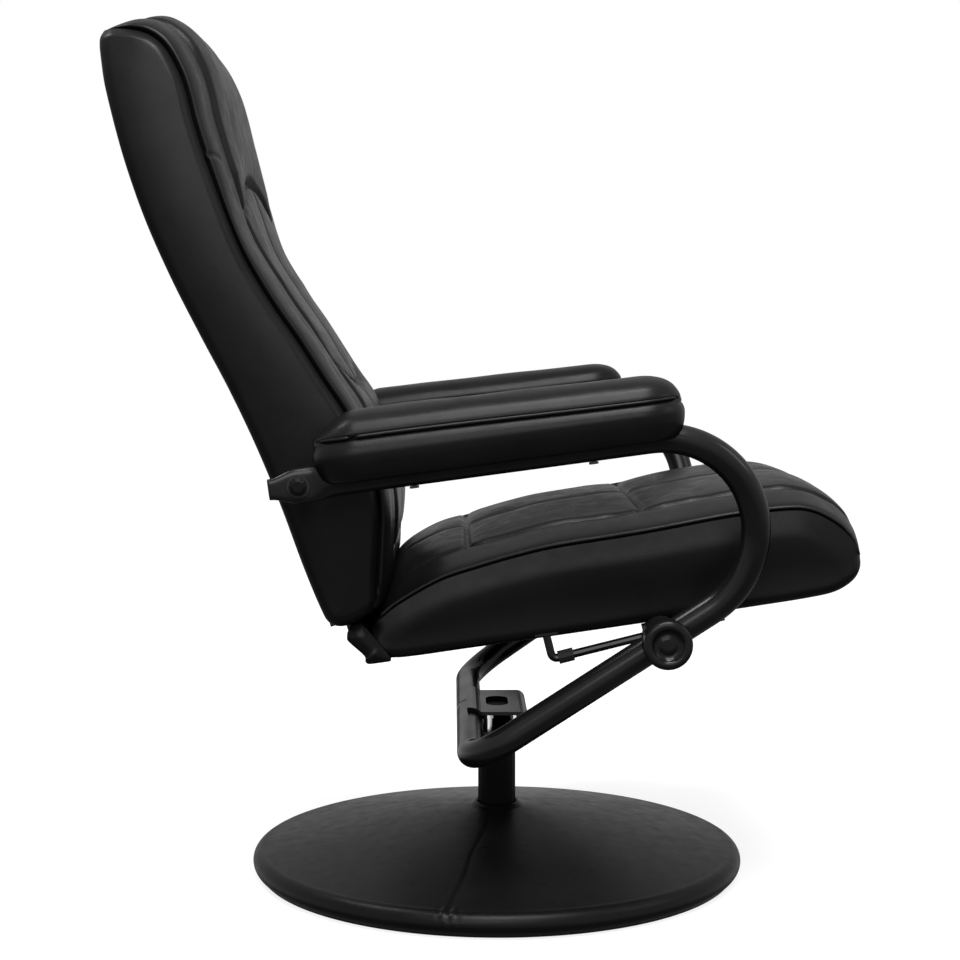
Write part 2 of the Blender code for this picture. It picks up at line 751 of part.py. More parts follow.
def back_place(point):
    """Lean of the backrest beside a point in its side plane, and the point's depth in from the rear."""
    nearest = min(back_curve(), key=lambda place: (place[1] - point).length)
    return between(BACK_LEAN, nearest[0]), (point - nearest[1]).dot(nearest[2])


def back_half(fraction):
    """Half width of the backrest, which narrows over its upper half."""
    rise = max(fraction - 0.5, 0.0) / 0.5
    return (BACK_WIDTH + (BACK_TOP_WIDTH - BACK_WIDTH) * rise * rise) / 2


BACK_STEPS = 24


def stations(low=0.0, high=1.0):
    """Fractions up the backrest that its pieces are built through, from one fraction to another."""
    inside = [k / BACK_STEPS for k in range(BACK_STEPS + 1) if low < k / BACK_STEPS < high]
    return [low] + inside + [high]


def back_outline(span, rear, front, crowned=0.0):
    """Closed side outline between two depths: (x, z) point, half width and rise of the top's crown."""
    behind = []
    ahead = []
    for fraction in stations(*span):
        point, normal, depth = back_point(fraction)
        rise = crowned * top_crown(fraction)
        behind.append((point + normal * rear(depth), back_half(fraction), rise))
        ahead.append((point + normal * front(depth), back_half(fraction), rise))
    return behind + ahead[::-1]


def top_crown(fraction):
    """Rise of the backrest's middle over its sides, which grows towards the top."""
    share = max(fraction - BACK_CROWN_START, 0.0) / (1.0 - BACK_CROWN_START)
    return BACK_TOP_CROWN * share * share


def side_solid(name, outline, sections, look=None, body=None, ladder=True):
    """Solid across the chair from a side outline, through (share across, side inset, outline inset) sections."""
    centre = sum((point for point, _, _ in outline), Vector((0.0, 0.0))) / len(outline)

    def ring(share, inset, shrink):
        points = []
        for point, half, rise in outline:
            towards = (centre - point).normalized() * shrink
            lift = Z * (rise * crown(share, BACK_CROWN_REACH))
            points.append(upright(point + towards, share * (half - inset)) + lift)
        return points

    return loft(name, [ring(*section) for section in sections], look, body, ladder=ladder)


def both_sides(inset, shrink=0.0):
    """Two end sections of a solid across the chair."""
    return [(-1, inset, shrink), (1, inset, shrink)]


def make_back(back):
    """Upholstered shell, steel hoop, board and front cushion of the backrest."""
    outline = back_outline((0.0, 1.0), lambda depth: 0.0, lambda depth: depth, 1.0)
    start, end = both_sides(0.0, SIDE_ROUND)
    near, far = both_sides(SIDE_ROUND / 2, SIDE_ROUND / 4)
    inner = [(share, SIDE_ROUND / 2, 0.0) for share in across_places()[1:-1]]
    shell = side_solid("back_shell", outline, [start, near] + inner + [far, end], "leather", back)
    margin = BACK_WALL / BACK_LENGTH
    hollow_span = (margin, 1.0 - margin)
    hollow = back_outline(hollow_span, lambda depth: BACK_WALL, lambda depth: depth + BACK_WALL)
    boolean(shell, side_solid("back_hollow", hollow, both_sides(BACK_WALL)))
    board_span = (margin + BACK_BOARD_LOW / BACK_LENGTH, 1.0 - margin - BACK_BOARD_TOP / BACK_LENGTH)
    board = back_outline(board_span, lambda depth: depth - GAP - BACK_BOARD_THICK, lambda depth: depth - GAP)
    side_solid("back_board", board, both_sides(BACK_WALL + RUNNING_GAP), "plywood", back)
    for label, side in SIDES.items():
        wall = BACK_WIDTH / 2
        start = upright(PIVOT, side * (wall - BACK_WALL * 2))
        end = upright(PIVOT, side * (wall + BACK_WALL))
        hole = PIVOT_SPACER_RADIUS + RUNNING_GAP
        boolean(shell, rod_between(f"spacer_hole_{label}", start, end, hole, sides=ROUND_SIDES))
    make_hoop(back)
    make_back_cushion(back)


def make_hoop(back):
    """Closed steel hoop that lines the shell and carries the pivot plates."""
    low = HOOP_LOW
    high = BACK_LENGTH - HOOP_TOP
    corner = HOOP_CORNER
    route = []
    turns = ((1, high, 0), (-1, high, 90), (-1, low, 180), (1, low, 270))
    for side, level, start in turns:
        fraction = level / BACK_LENGTH
        half = back_half(fraction) - BACK_WALL - RUNNING_GAP - HOOP_RADIUS
        inner_level = level - corner if level == high else level + corner
        for k in range(5):
            angle = math.radians(start + 90 * k / 4)
            across = side * (half - corner) + corner * math.cos(angle)
            route.append((across, inner_level + corner * math.sin(angle)))
        if start in (0, 180):
            continue
        step = (high - low - 2 * corner) / 5
        sign = -1 if start == 90 else 1
        first = inner_level
        for k in range(1, 5):
            along = first + sign * step * k
            wide = back_half(along / BACK_LENGTH) - BACK_WALL - RUNNING_GAP - HOOP_RADIUS
            route.append((side * wide, along))
    points = []
    for across, along in route:
        point, normal, _ = back_point(along / BACK_LENGTH)
        points.append((upright(point + normal * HOOP_DEPTH, across), upright(normal, 0)))
    rings = []
    count = len(points)
    for i, (point, normal) in enumerate(points):
        along = (points[(i + 1) % count][0] - points[i - 1][0]).normalized()
        across = along.cross(normal).normalized()
        rings.append(circle(point, across, along.cross(across), HOOP_RADIUS, HOOP_SIDES))
    loft("back_hoop", rings, "black_paint", back, closed=True)


def swell(share):
    """Rounded rise from 0 at both seams of a puff to 1 in its middle."""
    return math.sin(math.pi * min(max(share, 0.0), 1.0)) ** 0.6


def puff_at(value, seams):
    """Swell between the two seams that a value lies between, 0 outside them."""
    for low, high in zip(seams, seams[1:]):
        if low <= value <= high:
            return swell((value - low) / (high - low))
    return 0.0


def rounded_rise(distance, length):
    """Quarter-round rise from 0 at an edge to 1 at a length in from it."""
    left = 1.0 - min(max(distance / length, 0.0), 1.0)
    return math.sqrt(1.0 - left * left)


def crown(across, border):
    """Rise of a panel from its edges, across from -1 to 1, level inside the border."""
    return rounded_rise(1.0 - abs(across), border)


BORDER = 0.20
END_BORDER = 0.08
COLUMNS = 18


def cushion(name, rows, unders, look, body):
    """Closed cushion between rows of surface points and rows of the underside, which meet along their edges."""
    mesh = bpy.data.meshes.new(name)
    bm = bmesh.new()
    top = [[bm.verts.new(point) for point in row] for row in rows]
    under = [top[0]]
    for row, points in zip(top[1:-1], unders[1:-1]):
        under.append([row[0]] + [bm.verts.new(point) for point in points[1:-1]] + [row[-1]])
    under.append(top[-1])
    for grid in (top, under):
        for low, high in zip(grid, grid[1:]):
            for i in range(len(low) - 1):
                bm.faces.new((low[i + 1], high[i + 1], high[i], low[i]))
    bmesh.ops.recalc_face_normals(bm, faces=bm.faces)
    bm.to_mesh(mesh)
    bm.free()
    return place(name, mesh, look, body)


def across_places():
    """Places across a cushion from -1 to 1, closer together towards its edges."""
    return [math.sin(math.pi / 2 * (2 * k / COLUMNS - 1)) for k in range(COLUMNS + 1)]


def make_back_cushion(back):
    """Front of the backrest: border, two columns of puffs and one wide headrest puff."""
    rows = []
    unders = []
    for fraction in stations():
        point, normal, depth = back_point(fraction)
        half = back_half(fraction) - SIDE_ROUND / 2
        end_rise = crown(2 * fraction - 1, END_BORDER)
        row = []
        under = []
        for across in across_places():
            side_rise = crown(across, BORDER)
            inner = min(max(abs(across) / (1 - BORDER), 0.0), 1.0)
            lift = BACK_CROWN * side_rise
            lift += BACK_PUFF * puff_at(fraction, BACK_SEAMS) * swell(inner)
            lift += HEADREST_PUFF * puff_at(fraction, HEADREST_SPAN) * swell(inner / 2 + 0.5)
            face = upright(point + normal * (depth + GAP), across * half)
            face += Z * (top_crown(fraction) * crown(across, BACK_CROWN_REACH))
            row.append(face + upright(normal, 0) * (lift * end_rise))
            under.append(face)
        rows.append(row)
        unders.append(under)
    cushion("back_cushion", rows, unders, "leather", back)


def seat_line(steps=26):
    """Points along the seat's piping line as (distance along, point, direction of lift), never leaning back."""
    points = [Vector(point) for point in SEAT_EDGE]
    lengths = [0.0]
    for first, second in zip(points, points[1:]):
        lengths.append(lengths[-1] + (second - first).length)
    result = []
    for k in range(steps + 1):
        target = lengths[-1] * k / steps
        i = max(j for j in range(len(points) - 1) if lengths[j] <= target + 1e-9)
        share = (target - lengths[i]) / (lengths[i + 1] - lengths[i])
        before = points[max(i - 1, 0)]
        after = points[min(i + 2, len(points) - 1)]
        along = (points[i + 1] - before).lerp(after - points[i], share).normalized()
        lift = Vector((max(-along.y, 0.0), along.x)).normalized()
        result.append((target, points[i].lerp(points[i + 1], share), lift))
    return result


def make_seat(seat):
    """Upholstered seat body on a plywood board, with the puffed cushion on top."""
    line = seat_line()
    outline = [on_seat(*point) for _, point, _ in line]
    outline += [on_seat(*point) for point in SEAT_UNDERSIDE]
    start, end = both_sides(0.0, SIDE_ROUND / 2)
    near, far = both_sides(SIDE_ROUND / 2, SIDE_ROUND / 8)
    half = SEAT_WIDTH / 2
    side = [(point, half, 0.0) for point in outline]
    sections = [start, near] + both_sides(SIDE_ROUND) + [far, end]
    body = side_solid("seat_body_foam", side, sections, "leather", seat, ladder=False)

    def board(name, extra, look=None, owner=None):
        start = SEAT_BOARD_START - extra
        end = SEAT_BOARD_START + SEAT_BOARD_LENGTH + extra
        low = -extra * SEAT_BOARD_THICK / GAP
        high = SEAT_BOARD_THICK + extra
        corners = [on_seat(a, u) for a, u in ((start, low), (end, low), (end, high), (start, high))]
        reach = half - SEAT_BOARD_MARGIN + extra
        return prism(name, corners, -reach, reach, look, owner)

    board("seat_board", 0.0, "plywood", seat)
    boolean(body, board("board_recess", GAP))
    total = line[-1][0]
    rows = []
    unders = []
    for distance, point, upward in line:
        rear_rise = math.sin(math.pi / 2 * min(distance / SEAT_REAR_EASE, 1.0))
        end_rise = rear_rise * rounded_rise(total - distance, SEAT_FRONT_EASE)
        row = []
        under = []
        for across in across_places():
            inner = min(abs(across) / (1 - BORDER), 1.0)
            lift = SEAT_CROWN * crown(across, BORDER)
            lift += SEAT_PUFF * puff_at(distance, SEAT_SEAMS) * swell(inner)
            surface = point + upward * (GAP + lift * end_rise)
            beside = across * (half - SIDE_ROUND / 4)
            row.append(upright(on_seat(*surface), beside))
            under.append(upright(on_seat(*(point + upward * GAP)), beside))
        rows.append(row)
        unders.append(under)
    cushion("seat_cushion", rows, unders, "leather", seat)


def make_pivot(label, side, back):
    """Bolt, washer and spacer at an arm's end, and the plate inside the backrest that they screw into."""
    flat_out = ARM_OUT + FLAT_THICK / 2
    flat_in = ARM_OUT - FLAT_THICK / 2
    plate_out = BACK_WIDTH / 2 - BACK_WALL - GAP
    plate_in = plate_out - PIVOT_PLATE_THICK
    centre = upright(PIVOT, 0)
    axis = Y * side
    hole = PIVOT_BOLT_RADIUS + GAP
    washer_out = flat_out + GAP + PIVOT_WASHER_THICK
    washer = ring_tube(hole, PIVOT_WASHER_RADIUS, flat_out + GAP, washer_out)
    turned(f"pivot_washer_{label}", washer, "nylon", back, centre, axis, closed=True)
    spacer = ring_tube(hole, PIVOT_SPACER_RADIUS, plate_out + GAP, flat_in - GAP)
    turned(f"pivot_spacer_{label}", spacer, "black_paint", back, centre, axis, closed=True)
    head = washer_out + GAP
    bolt = [
        (PIVOT_BOLT_RADIUS, plate_in - PIVOT_BOLT_TAIL),
        (PIVOT_BOLT_RADIUS, head),
        (PIVOT_HEAD_RADIUS, head),
        (PIVOT_HEAD_RADIUS, head + PIVOT_HEAD_THICK * 0.6),
        (PIVOT_HEAD_RADIUS * 0.6, head + PIVOT_HEAD_THICK),
    ]
    turned(f"pivot_bolt_{label}", bolt, "black_paint", back, centre, axis, FASTENER_SIDES)
    lean, depth = back_place(Vector(PIVOT))
    on_plate = plane(PIVOT, lean)
    long = PIVOT_PLATE_LENGTH / 2
    rear = -PIVOT_PLATE_EDGE
    front = HOOP_DEPTH - HOOP_RADIUS - RUNNING_GAP - depth
    corners = [on_plate(a, u) for a, u in ((rear, -long), (front, -long), (front, long), (rear, long))]
    ends = sorted((side * plate_in, side * plate_out))
    plate = prism(f"pivot_plate_{label}", corners, *ends, "black_paint", back)
    start = centre + axis * (plate_in - PIVOT_PLATE_THICK)
    end = centre + axis * (plate_out + PIVOT_PLATE_THICK)
    boolean(plate, rod_between(f"plate_hole_{label}", start, end, hole))


def make_hinge(label, side, back, seat):
    """Two rolled straps and their pin, between the bottom of the backrest and the seat board."""
    eye = PIN_RADIUS + RUNNING_GAP + STRAP_THICK / 2
    drop = GAP + STRAP_THICK / 2
    foot, normal, _ = back_point(0.0)
    downward = Vector((normal.y, -normal.x))
    forward = (HINGE - foot).dot(normal)
    below = (HINGE - foot).dot(downward)
    local = [(forward - eye - BACK_STRAP_LENGTH, drop), (forward - eye, drop)]
    local += arc((forward, below), eye, 180, 180 - EYE_SWEEP, 14)
    path = [foot + normal * a + downward * d for a, d in local]
    low = HINGE_OUT + GAP / 2
    ends = sorted((side * low, side * (low + STRAP_WIDTH)))
    prism(f"back_hinge_strap_{label}", strip(path, STRAP_THICK), *ends, "black_paint", back)
    local = [(SEAT_STRAP_LENGTH, -drop), (eye - HINGE_BEHIND, -drop)]
    local += arc((-HINGE_BEHIND, HINGE_ABOVE), eye, 0, EYE_SWEEP, 14)
    path = [on_seat(a, u) for a, u in local]
    high = HINGE_OUT - GAP / 2
    ends = sorted((side * (high - STRAP_WIDTH), side * high))
    prism(f"seat_hinge_strap_{label}", strip(path, STRAP_THICK), *ends, "black_paint", seat)
    reach = STRAP_WIDTH + PIN_OVERHANG
    start = upright(HINGE, side * (HINGE_OUT - reach))
    end = upright(HINGE, side * (HINGE_OUT + reach))
    rod_between(f"hinge_pin_{label}", start, end, PIN_RADIUS, "steel", seat)


def make_clamp(label, side, clamp):
    """Clamp block: a disc against the tube with a slotted lug that the guide rod slides through."""
    outer = KNOB_OUT - TUBE_REACH - LOOP_LEAN * CLAMP_RADIUS - GAP
    centre = upright(KNOB, 0)
    axis = Y * side
    overlap = CLAMP_RADIUS / 4
    disc = [(CLAMP_RADIUS, CLAMP_INNER), (CLAMP_RADIUS, outer)]
    block = turned(f"clamp_block_{label}", disc, "black_plastic", clamp, centre, axis)
    half = CLAMP_LUG_HALF
    shape = ((-half, -CLAMP_LUG_BOTTOM), (half, -CLAMP_LUG_BOTTOM), (half, CLAMP_LUG_TOP), (-half, CLAMP_LUG_TOP))
    ends = sorted((side * CLAMP_LUG_INNER, side * (CLAMP_INNER + overlap)))
    lug = prism(f"clamp_lug_{label}", [on_rod(a, u) for a, u in shape], *ends)
    boolean(block, lug, "UNION")
    room = ROD_RADIUS + CLAMP_PLAY
    wide = ROD_RADIUS + RUNNING_GAP
    long = half * 2
    shape = [(sa * long, su * room) for sa, su in ((-1, -1), (1, -1), (1, 1), (-1, 1))]
    ends = sorted((side * (ROD_OUT - wide), side * (ROD_OUT + wide)))
    boolean(block, prism(f"rod_slot_{label}", [on_rod(a, u) for a, u in shape], *ends))
    start = centre + axis * (stud_tip() - GAP)
    end = centre + axis * (outer + TUBE_RADIUS)
    hole = STUD_RADIUS + RUNNING_GAP
    boolean(block, rod_between(f"stud_bore_{label}", start, end, hole))


def stud_tip():
    """Side distance of the stud's inner end, just outside the rod's slot."""
    return ROD_OUT + ROD_RADIUS + RUNNING_GAP + STUD_RADIUS


def make_knob(label, side, knob):
    centre = upright(KNOB, 0)
    axis = Y * side
    start = KNOB_OUT + TUBE_REACH + LOOP_LEAN * KNOB_HUB_RADIUS + GAP
    bore = STUD_RADIUS + GAP
    rim = KNOB_RADIUS - KNOB_RIM / 2
    crest = start + KNOB_HEIGHT
    shape = [
        (bore, start + STUD_DEPTH + GAP),
        (bore, start),
        (KNOB_HUB_RADIUS, start),
        (KNOB_HUB_RADIUS + KNOB_RIM / 2, start + KNOB_HEIGHT * 0.25),
        (KNOB_RADIUS - KNOB_RIM / 4, start + KNOB_HEIGHT * 0.35),
        (KNOB_RADIUS, start + KNOB_HEIGHT * 0.5),
        (KNOB_RADIUS, crest - KNOB_RIM),
        (KNOB_RADIUS - KNOB_RIM / 6, crest - KNOB_RIM / 3),
        (rim, crest),
        (rim - KNOB_RIM / 2, crest - KNOB_DISH / 2),
        (rim - KNOB_RIM * 2, crest - KNOB_DISH),
    ]
    turned(f"knob_{label}", shape, "black_plastic", knob, centre, axis)
    tip = centre + axis * stud_tip()
    top = centre + axis * (start + STUD_DEPTH)
    rod_between(f"knob_stud_{label}", tip, top, STUD_RADIUS, "steel", knob)


def seat_under(along):
    """Distance from the rod's clamp line up to the seat's underside, in the rod's plane."""
    on_line = on_rod(along, 0.0)
    seat = math.radians(SEAT_SLOPE)
    height = (on_line - Vector((SEAT_X, SEAT_Z))).dot(Vector((-math.sin(seat), math.cos(seat))))
    return -height / math.cos(math.radians(ROD_SLOPE - SEAT_SLOPE))


def make_rod(label, side, seat):
    """Bent guide rod under the seat, the feet that hold it to the board, and its stop sleeve."""
    tilt = ROD_RADIUS * math.tan(math.radians(abs(ROD_SLOPE - SEAT_SLOPE)))
    rear_top = seat_under(-ROD_REAR) - ROD_FOOT_THICK - 2 * GAP - tilt
    corner = (-ROD_REAR + ROD_BEND, ROD_BEND)
    route = [(-ROD_REAR, rear_top)] + arc(corner, ROD_BEND, 180, 270, 5) + [(ROD_FRONT, 0.0)]
    points = [upright(on_rod(a, u), side * ROD_OUT) for a, u in route]
    rings = []
    for i, point in enumerate(points):
        along = (points[min(i + 1, len(points) - 1)] - points[max(i - 1, 0)]).normalized()
        rings.append(circle(point, Y, along.cross(Y), ROD_RADIUS, FASTENER_SIDES))
    loft(f"guide_rod_{label}", rings, "black_paint", seat)
    for where, along in (("rear", -ROD_REAR), ("front", ROD_FRONT - ROD_FOOT_LENGTH / 2)):
        top = on_rod(along, seat_under(along))
        flat = plane(top, SEAT_SLOPE)
        long = ROD_FOOT_LENGTH / 2
        low = -GAP - ROD_FOOT_THICK
        outline = [flat(a, u) for a, u in ((-long, low), (long, low), (long, -GAP), (-long, -GAP))]
        inner = ROD_OUT - ROD_FOOT_WIDTH / 2
        outer = ROD_OUT + ROD_FOOT_WIDTH / 2
        prism(f"rod_foot_{where}_{label}", outline, *sorted((side * inner, side * outer)), "black_paint", seat)
    start = upright(on_rod(-STOP_REAR, 0.0), side * ROD_OUT)
    forward = (points[-1] - points[-2]).normalized()
    upward = forward.cross(Y)
    rings = []
    for radius, along in ring_tube(ROD_RADIUS + GAP, STOP_RADIUS, 0.0, STOP_LENGTH):
        rings.append(circle(start + forward * along, Y, upward, radius, FASTENER_SIDES))
    loft(f"rod_stop_{label}", rings, "rubber", seat, closed=True)


def main():
    clear_scene()
    bodies = make_bodies()
    make_base(bodies["base"])
    make_post(bodies["base"], bodies["frame"])
    make_bracket(bodies["frame"])
    make_joiner(bodies["frame"])
    make_back(bodies["back"])
    make_seat(bodies["seat"])
    for label, side in SIDES.items():
        sections = make_tube(label, side, bodies["frame"])
        make_arm(label, side, bodies["frame"], sections)
        make_pivot(label, side, bodies["back"])
        make_hinge(label, side, bodies["back"], bodies["seat"])
        make_clamp(label, side, bodies[f"clamp_{label}"])
        make_knob(label, side, bodies[f"knob_{label}"])
        make_rod(label, side, bodies["seat"])
    bpy.context.view_layer.update()


main()
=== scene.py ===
"""Looks of the swivel recliner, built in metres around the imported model."""

import json
import math

import bmesh
import bpy
import numpy as np
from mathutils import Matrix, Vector, kdtree


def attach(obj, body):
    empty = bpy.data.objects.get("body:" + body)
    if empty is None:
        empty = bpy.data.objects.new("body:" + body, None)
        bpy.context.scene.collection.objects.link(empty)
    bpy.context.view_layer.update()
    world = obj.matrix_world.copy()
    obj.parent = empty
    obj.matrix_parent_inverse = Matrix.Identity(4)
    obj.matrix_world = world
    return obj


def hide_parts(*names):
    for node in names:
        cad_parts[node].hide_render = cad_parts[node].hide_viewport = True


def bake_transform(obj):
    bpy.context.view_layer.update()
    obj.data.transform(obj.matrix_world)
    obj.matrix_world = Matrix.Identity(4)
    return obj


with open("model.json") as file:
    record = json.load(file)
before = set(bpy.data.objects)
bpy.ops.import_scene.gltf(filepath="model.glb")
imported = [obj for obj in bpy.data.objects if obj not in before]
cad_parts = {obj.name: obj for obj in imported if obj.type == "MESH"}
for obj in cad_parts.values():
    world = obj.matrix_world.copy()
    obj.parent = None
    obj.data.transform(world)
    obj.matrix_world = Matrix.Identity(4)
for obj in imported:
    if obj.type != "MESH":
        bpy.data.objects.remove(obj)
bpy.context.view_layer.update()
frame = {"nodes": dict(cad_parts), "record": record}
nodes = frame["nodes"]

SIDES = {"right": -1, "left": 1}

# Mesh densities and merge distances
LINE_POINTS = 300
SPLINE_STEPS = 24
DISTANCE_POINTS = 3000
SIDE_STEPS = 48
STRIP_COLUMNS = 61
SHOULDER_STEPS = 25
PANEL_COLUMNS = 241
WELT_POINTS = 520
WELT_ACROSS = 40
WELT_SIDES = 10
GUTTER_TURNS = 24
GUTTER_POINTS = 90
GUTTER_COLUMNS = 60
ARM_POINTS = 150
BEND_POINTS = 70
RAKE_POINTS = 40
CORNER_POINTS = 30
TUBE_SIDES = 40
PAD_RING_POINTS = 200
PAD_PROFILE_POINTS = 120
PAD_WELT_POINTS = 300
KNOB_POINTS = 70
KNOB_SIDES = 96
COLLAR_SIDES = 48
DOME_POINTS = 90
RIM_POINTS = 30
BASE_SIDES = 720
NOISE_CELLS = 64
MERGE = 1e-6
BOX_MERGE = 2e-5

# Camera
CAMERA_PLACE = (-0.0526, -2.2437, 0.6377)
CAMERA_PITCH = 4.524
CAMERA_YAW = 0.839
CAMERA_LENS = 72.17
CAMERA_SENSOR = 36.0

# Backrest side lines as (x, z): rear and bottom, then the piping line
BACK_REAR = (
    (-0.1336, 0.3449),
    (-0.1500, 0.3345),
    (-0.1665, 0.3283),
    (-0.1805, 0.3325),
    (-0.1895, 0.3480),
    (-0.2068, 0.3909),
    (-0.2292, 0.4529),
    (-0.2538, 0.5139),
    (-0.2815, 0.5735),
    (-0.3118, 0.6318),
    (-0.3412, 0.6905),
    (-0.3674, 0.7509),
    (-0.3887, 0.8133),
    (-0.4054, 0.8770),
    (-0.4109, 0.9095),
    (-0.4124, 0.9285),
    (-0.4095, 0.9390),
)
BACK_FRONT = (
    (-0.1336, 0.3449),
    (-0.1317, 0.3809),
    (-0.1297, 0.4172),
    (-0.1290, 0.4510),
    (-0.1350, 0.4876),
    (-0.1491, 0.5204),
    (-0.1650, 0.5525),
    (-0.1870, 0.5855),
    (-0.2115, 0.6240),
    (-0.2420, 0.6690),
    (-0.2700, 0.7200),
    (-0.2980, 0.7920),
    (-0.3145, 0.8420),
    (-0.3230, 0.8750),
    (-0.3310, 0.8980),
    (-0.3440, 0.9210),
    (-0.3580, 0.9335),
    (-0.3750, 0.9395),
    (-0.3960, 0.9412),
    (-0.4095, 0.9390),
)
BACK_HALF = 0.270
BACK_TOP_HALF = 0.250
BACK_NARROWS_FROM = 0.5
BACK_TOP_CROWN = 0.018
BACK_CROWN_FROM = 0.80
BACK_CROWN_RAMP = 0.14
BACK_REAR_CROWN = 0.009
BACK_RISES_TO = 0.90
BACK_ROLLS = (0.012, 0.0080, 0.008)
BACK_BULGE = 0.0105
BACK_BULGE_REAR = 0.035
BACK_BULGE_FRONT = 0.030

# Backrest panel: rows of cells, ends, waist, headrest and the tuck beside it
BACK_ROWS_Z = (0.395, 0.598, 0.752)
BACK_LOW_END = 0.026
BACK_TOP_END = 0.048
BACK_TOP_POWER = 0.7
LOW_CELL_START = 0.010
LOW_CELL_EXTRA = -0.003
TOP_CELL_PAST = 0.015
HEADREST_ARCH = 0.048
HEADREST_EXTRA = 0.0040
HEADREST_LIFT = 0.0012
HEADREST_RAMP = 0.06
LUMBAR_ARCH = -0.040
WAIST_DEPTH = 0.0035
WAIST_BELOW = 0.02
WAIST_REACH = 0.045
WIDER_BELOW = 0.10
WIDER_RAMP = 0.15
TUCK_ABOVE = 0.062
TUCK_SLANT = 0.25
TUCK_INSET = 0.02
TUCK_DEPTH = 0.0022
TUCK_WIDTH = 0.0024
TUCK_REACH = 0.040
TUCK_FADE = 0.012

# Seat plane, and its side lines as (along, up)
SEAT_ORIGIN = (-0.1216, 0.2952)
SEAT_SLOPE = 8.1
SEAT_TOP = (
    (-0.009, 0.031),
    (0.000, 0.0385),
    (0.022, 0.0515),
    (0.067, 0.0690),
    (0.110, 0.0770),
    (0.153, 0.0830),
    (0.196, 0.0865),
    (0.285, 0.0880),
    (0.376, 0.0920),
    (0.436, 0.0910),
    (0.463, 0.0850),
    (0.486, 0.0690),
    (0.5005, 0.0510),
    (0.5085, 0.0320),
)
SEAT_UNDER = (
    (-0.009, 0.031),
    (-0.0145, 0.020),
    (-0.0135, 0.009),
    (-0.0050, -0.0010),
    (0.010, -0.0048),
    (0.032, -0.0058),
    (0.080, -0.0058),
    (0.180, -0.0058),
    (0.310, -0.0055),
    (0.405, -0.0048),
    (0.450, -0.0040),
    (0.474, -0.0020),
    (0.490, 0.0035),
    (0.501, 0.0115),
    (0.507, 0.0215),
    (0.5085, 0.0320),
)
SEAT_HALF = 0.250
SEAT_ROWS = (0.014, 0.120, 0.312, 0.550)
SEAT_END = 0.055
SEAT_ROLLS = (0.012, 0.0055, 0.028)
SEAT_BULGE = 0.0095
SEAT_BULGE_LOW = 0.004
SEAT_BULGE_EDGE = 0.045

# Sewn panels: edge inset and shoulder, height, seams and stuffing
PANEL_SINK = 0.0040
PANEL_END_ROWS = 14.0
BACK_PANEL = dict(
    inset=0.0130,
    shoulder=0.026,
    bend=2.3,
    belly=0.0085,
    lift=0.0128,
    crown=0.0,
    border=0.088,
    lower_border=0.110,
    ridge=0.0012,
    stitch=0.0050,
    depth=0.0050,
    reach=0.060,
    puff=0.0060,
    seed=20,
)
SEAT_PANEL = dict(
    inset=0.0110,
    shoulder=0.054,
    bend=1.8,
    belly=0.0055,
    lift=0.0125,
    crown=0.0090,
    border=0.070,
    ridge=0.0012,
    stitch=0.0040,
    depth=0.0036,
    reach=0.055,
    puff=0.0062,
    seed=40,
)
RIDGE_FROM = 0.4
RIDGE_RAMP = 0.45
RIDGE_FADE = 0.02
MIDDLE_LEAST = 0.45
MIDDLE_MORE = 0.55
MIDDLE_CUT = 0.6

# Gathers as (pitch, reach), their heights, and the panels' unevenness
ROW_GATHER = (0.030, 0.022)
ROW_GATHER_LIFT = 0.0020
MIDDLE_GATHER = (0.034, 0.018)
MIDDLE_GATHER_SHARE = 0.8
EDGE_GATHER = (0.032, 0.020)
EDGE_GATHER_LIFT = 0.0018
EDGE_GATHER_START = 0.006
BORDER_GATHER = (0.020, 0.014)
BORDER_GATHER_LIFT = 0.0010
UNEVEN_CELL = 0.055
UNEVEN_LIFT = 0.0020
UNEVEN_EDGE = 0.05

# Padded boxes: the sunk face under a panel and the rolls' bend
GROOVE_SINK = 0.0050
GROOVE_EDGE = 0.996
BOX_END_ROWS = 8.0
ROLL_BEND = 1.6

# Gloss: full where a surface faces the eye, less at a slant, and less on faces that look down, which is
# painted shade on the undersides
SLANT_FROM = 0.30
SLANT_TO = 0.88
LEATHER_LEAST = 0.08
COATED_LEAST = 0.002
UNDER_GLOSS = 0.15
UNDER_FROM = -0.20
UNDER_TO = 0.12

# Surface relief as (strength, distance)
CREASE_BUMP = (0.12, 0.0010)
PEBBLE_BUMP = (0.16, 0.0003)
PORE_BUMP = (0.08, 0.00015)
PEEL_BUMP = (0.02, 0.0002)
GRAIN_BUMP = (0.2, 0.0004)
PEBBLE_WARP = 0.004
PATCH_BRIGHTER = 1.35

# Piping
WELT_RADIUS = 0.0018
WELT_LIFT = 0.0040
WELT_OUT = 0.0025
WELT_SINK = 0.0006
WELT_FADE = 0.040
WELT_CORNER = 0.014
WELT_FIRST = 6
WELT_LAST = 12
WELT_SKIP = 4
WELT_TIP = 0.4
WELT_FIRST_SIDE = (0.31, 0.42, 0.85)

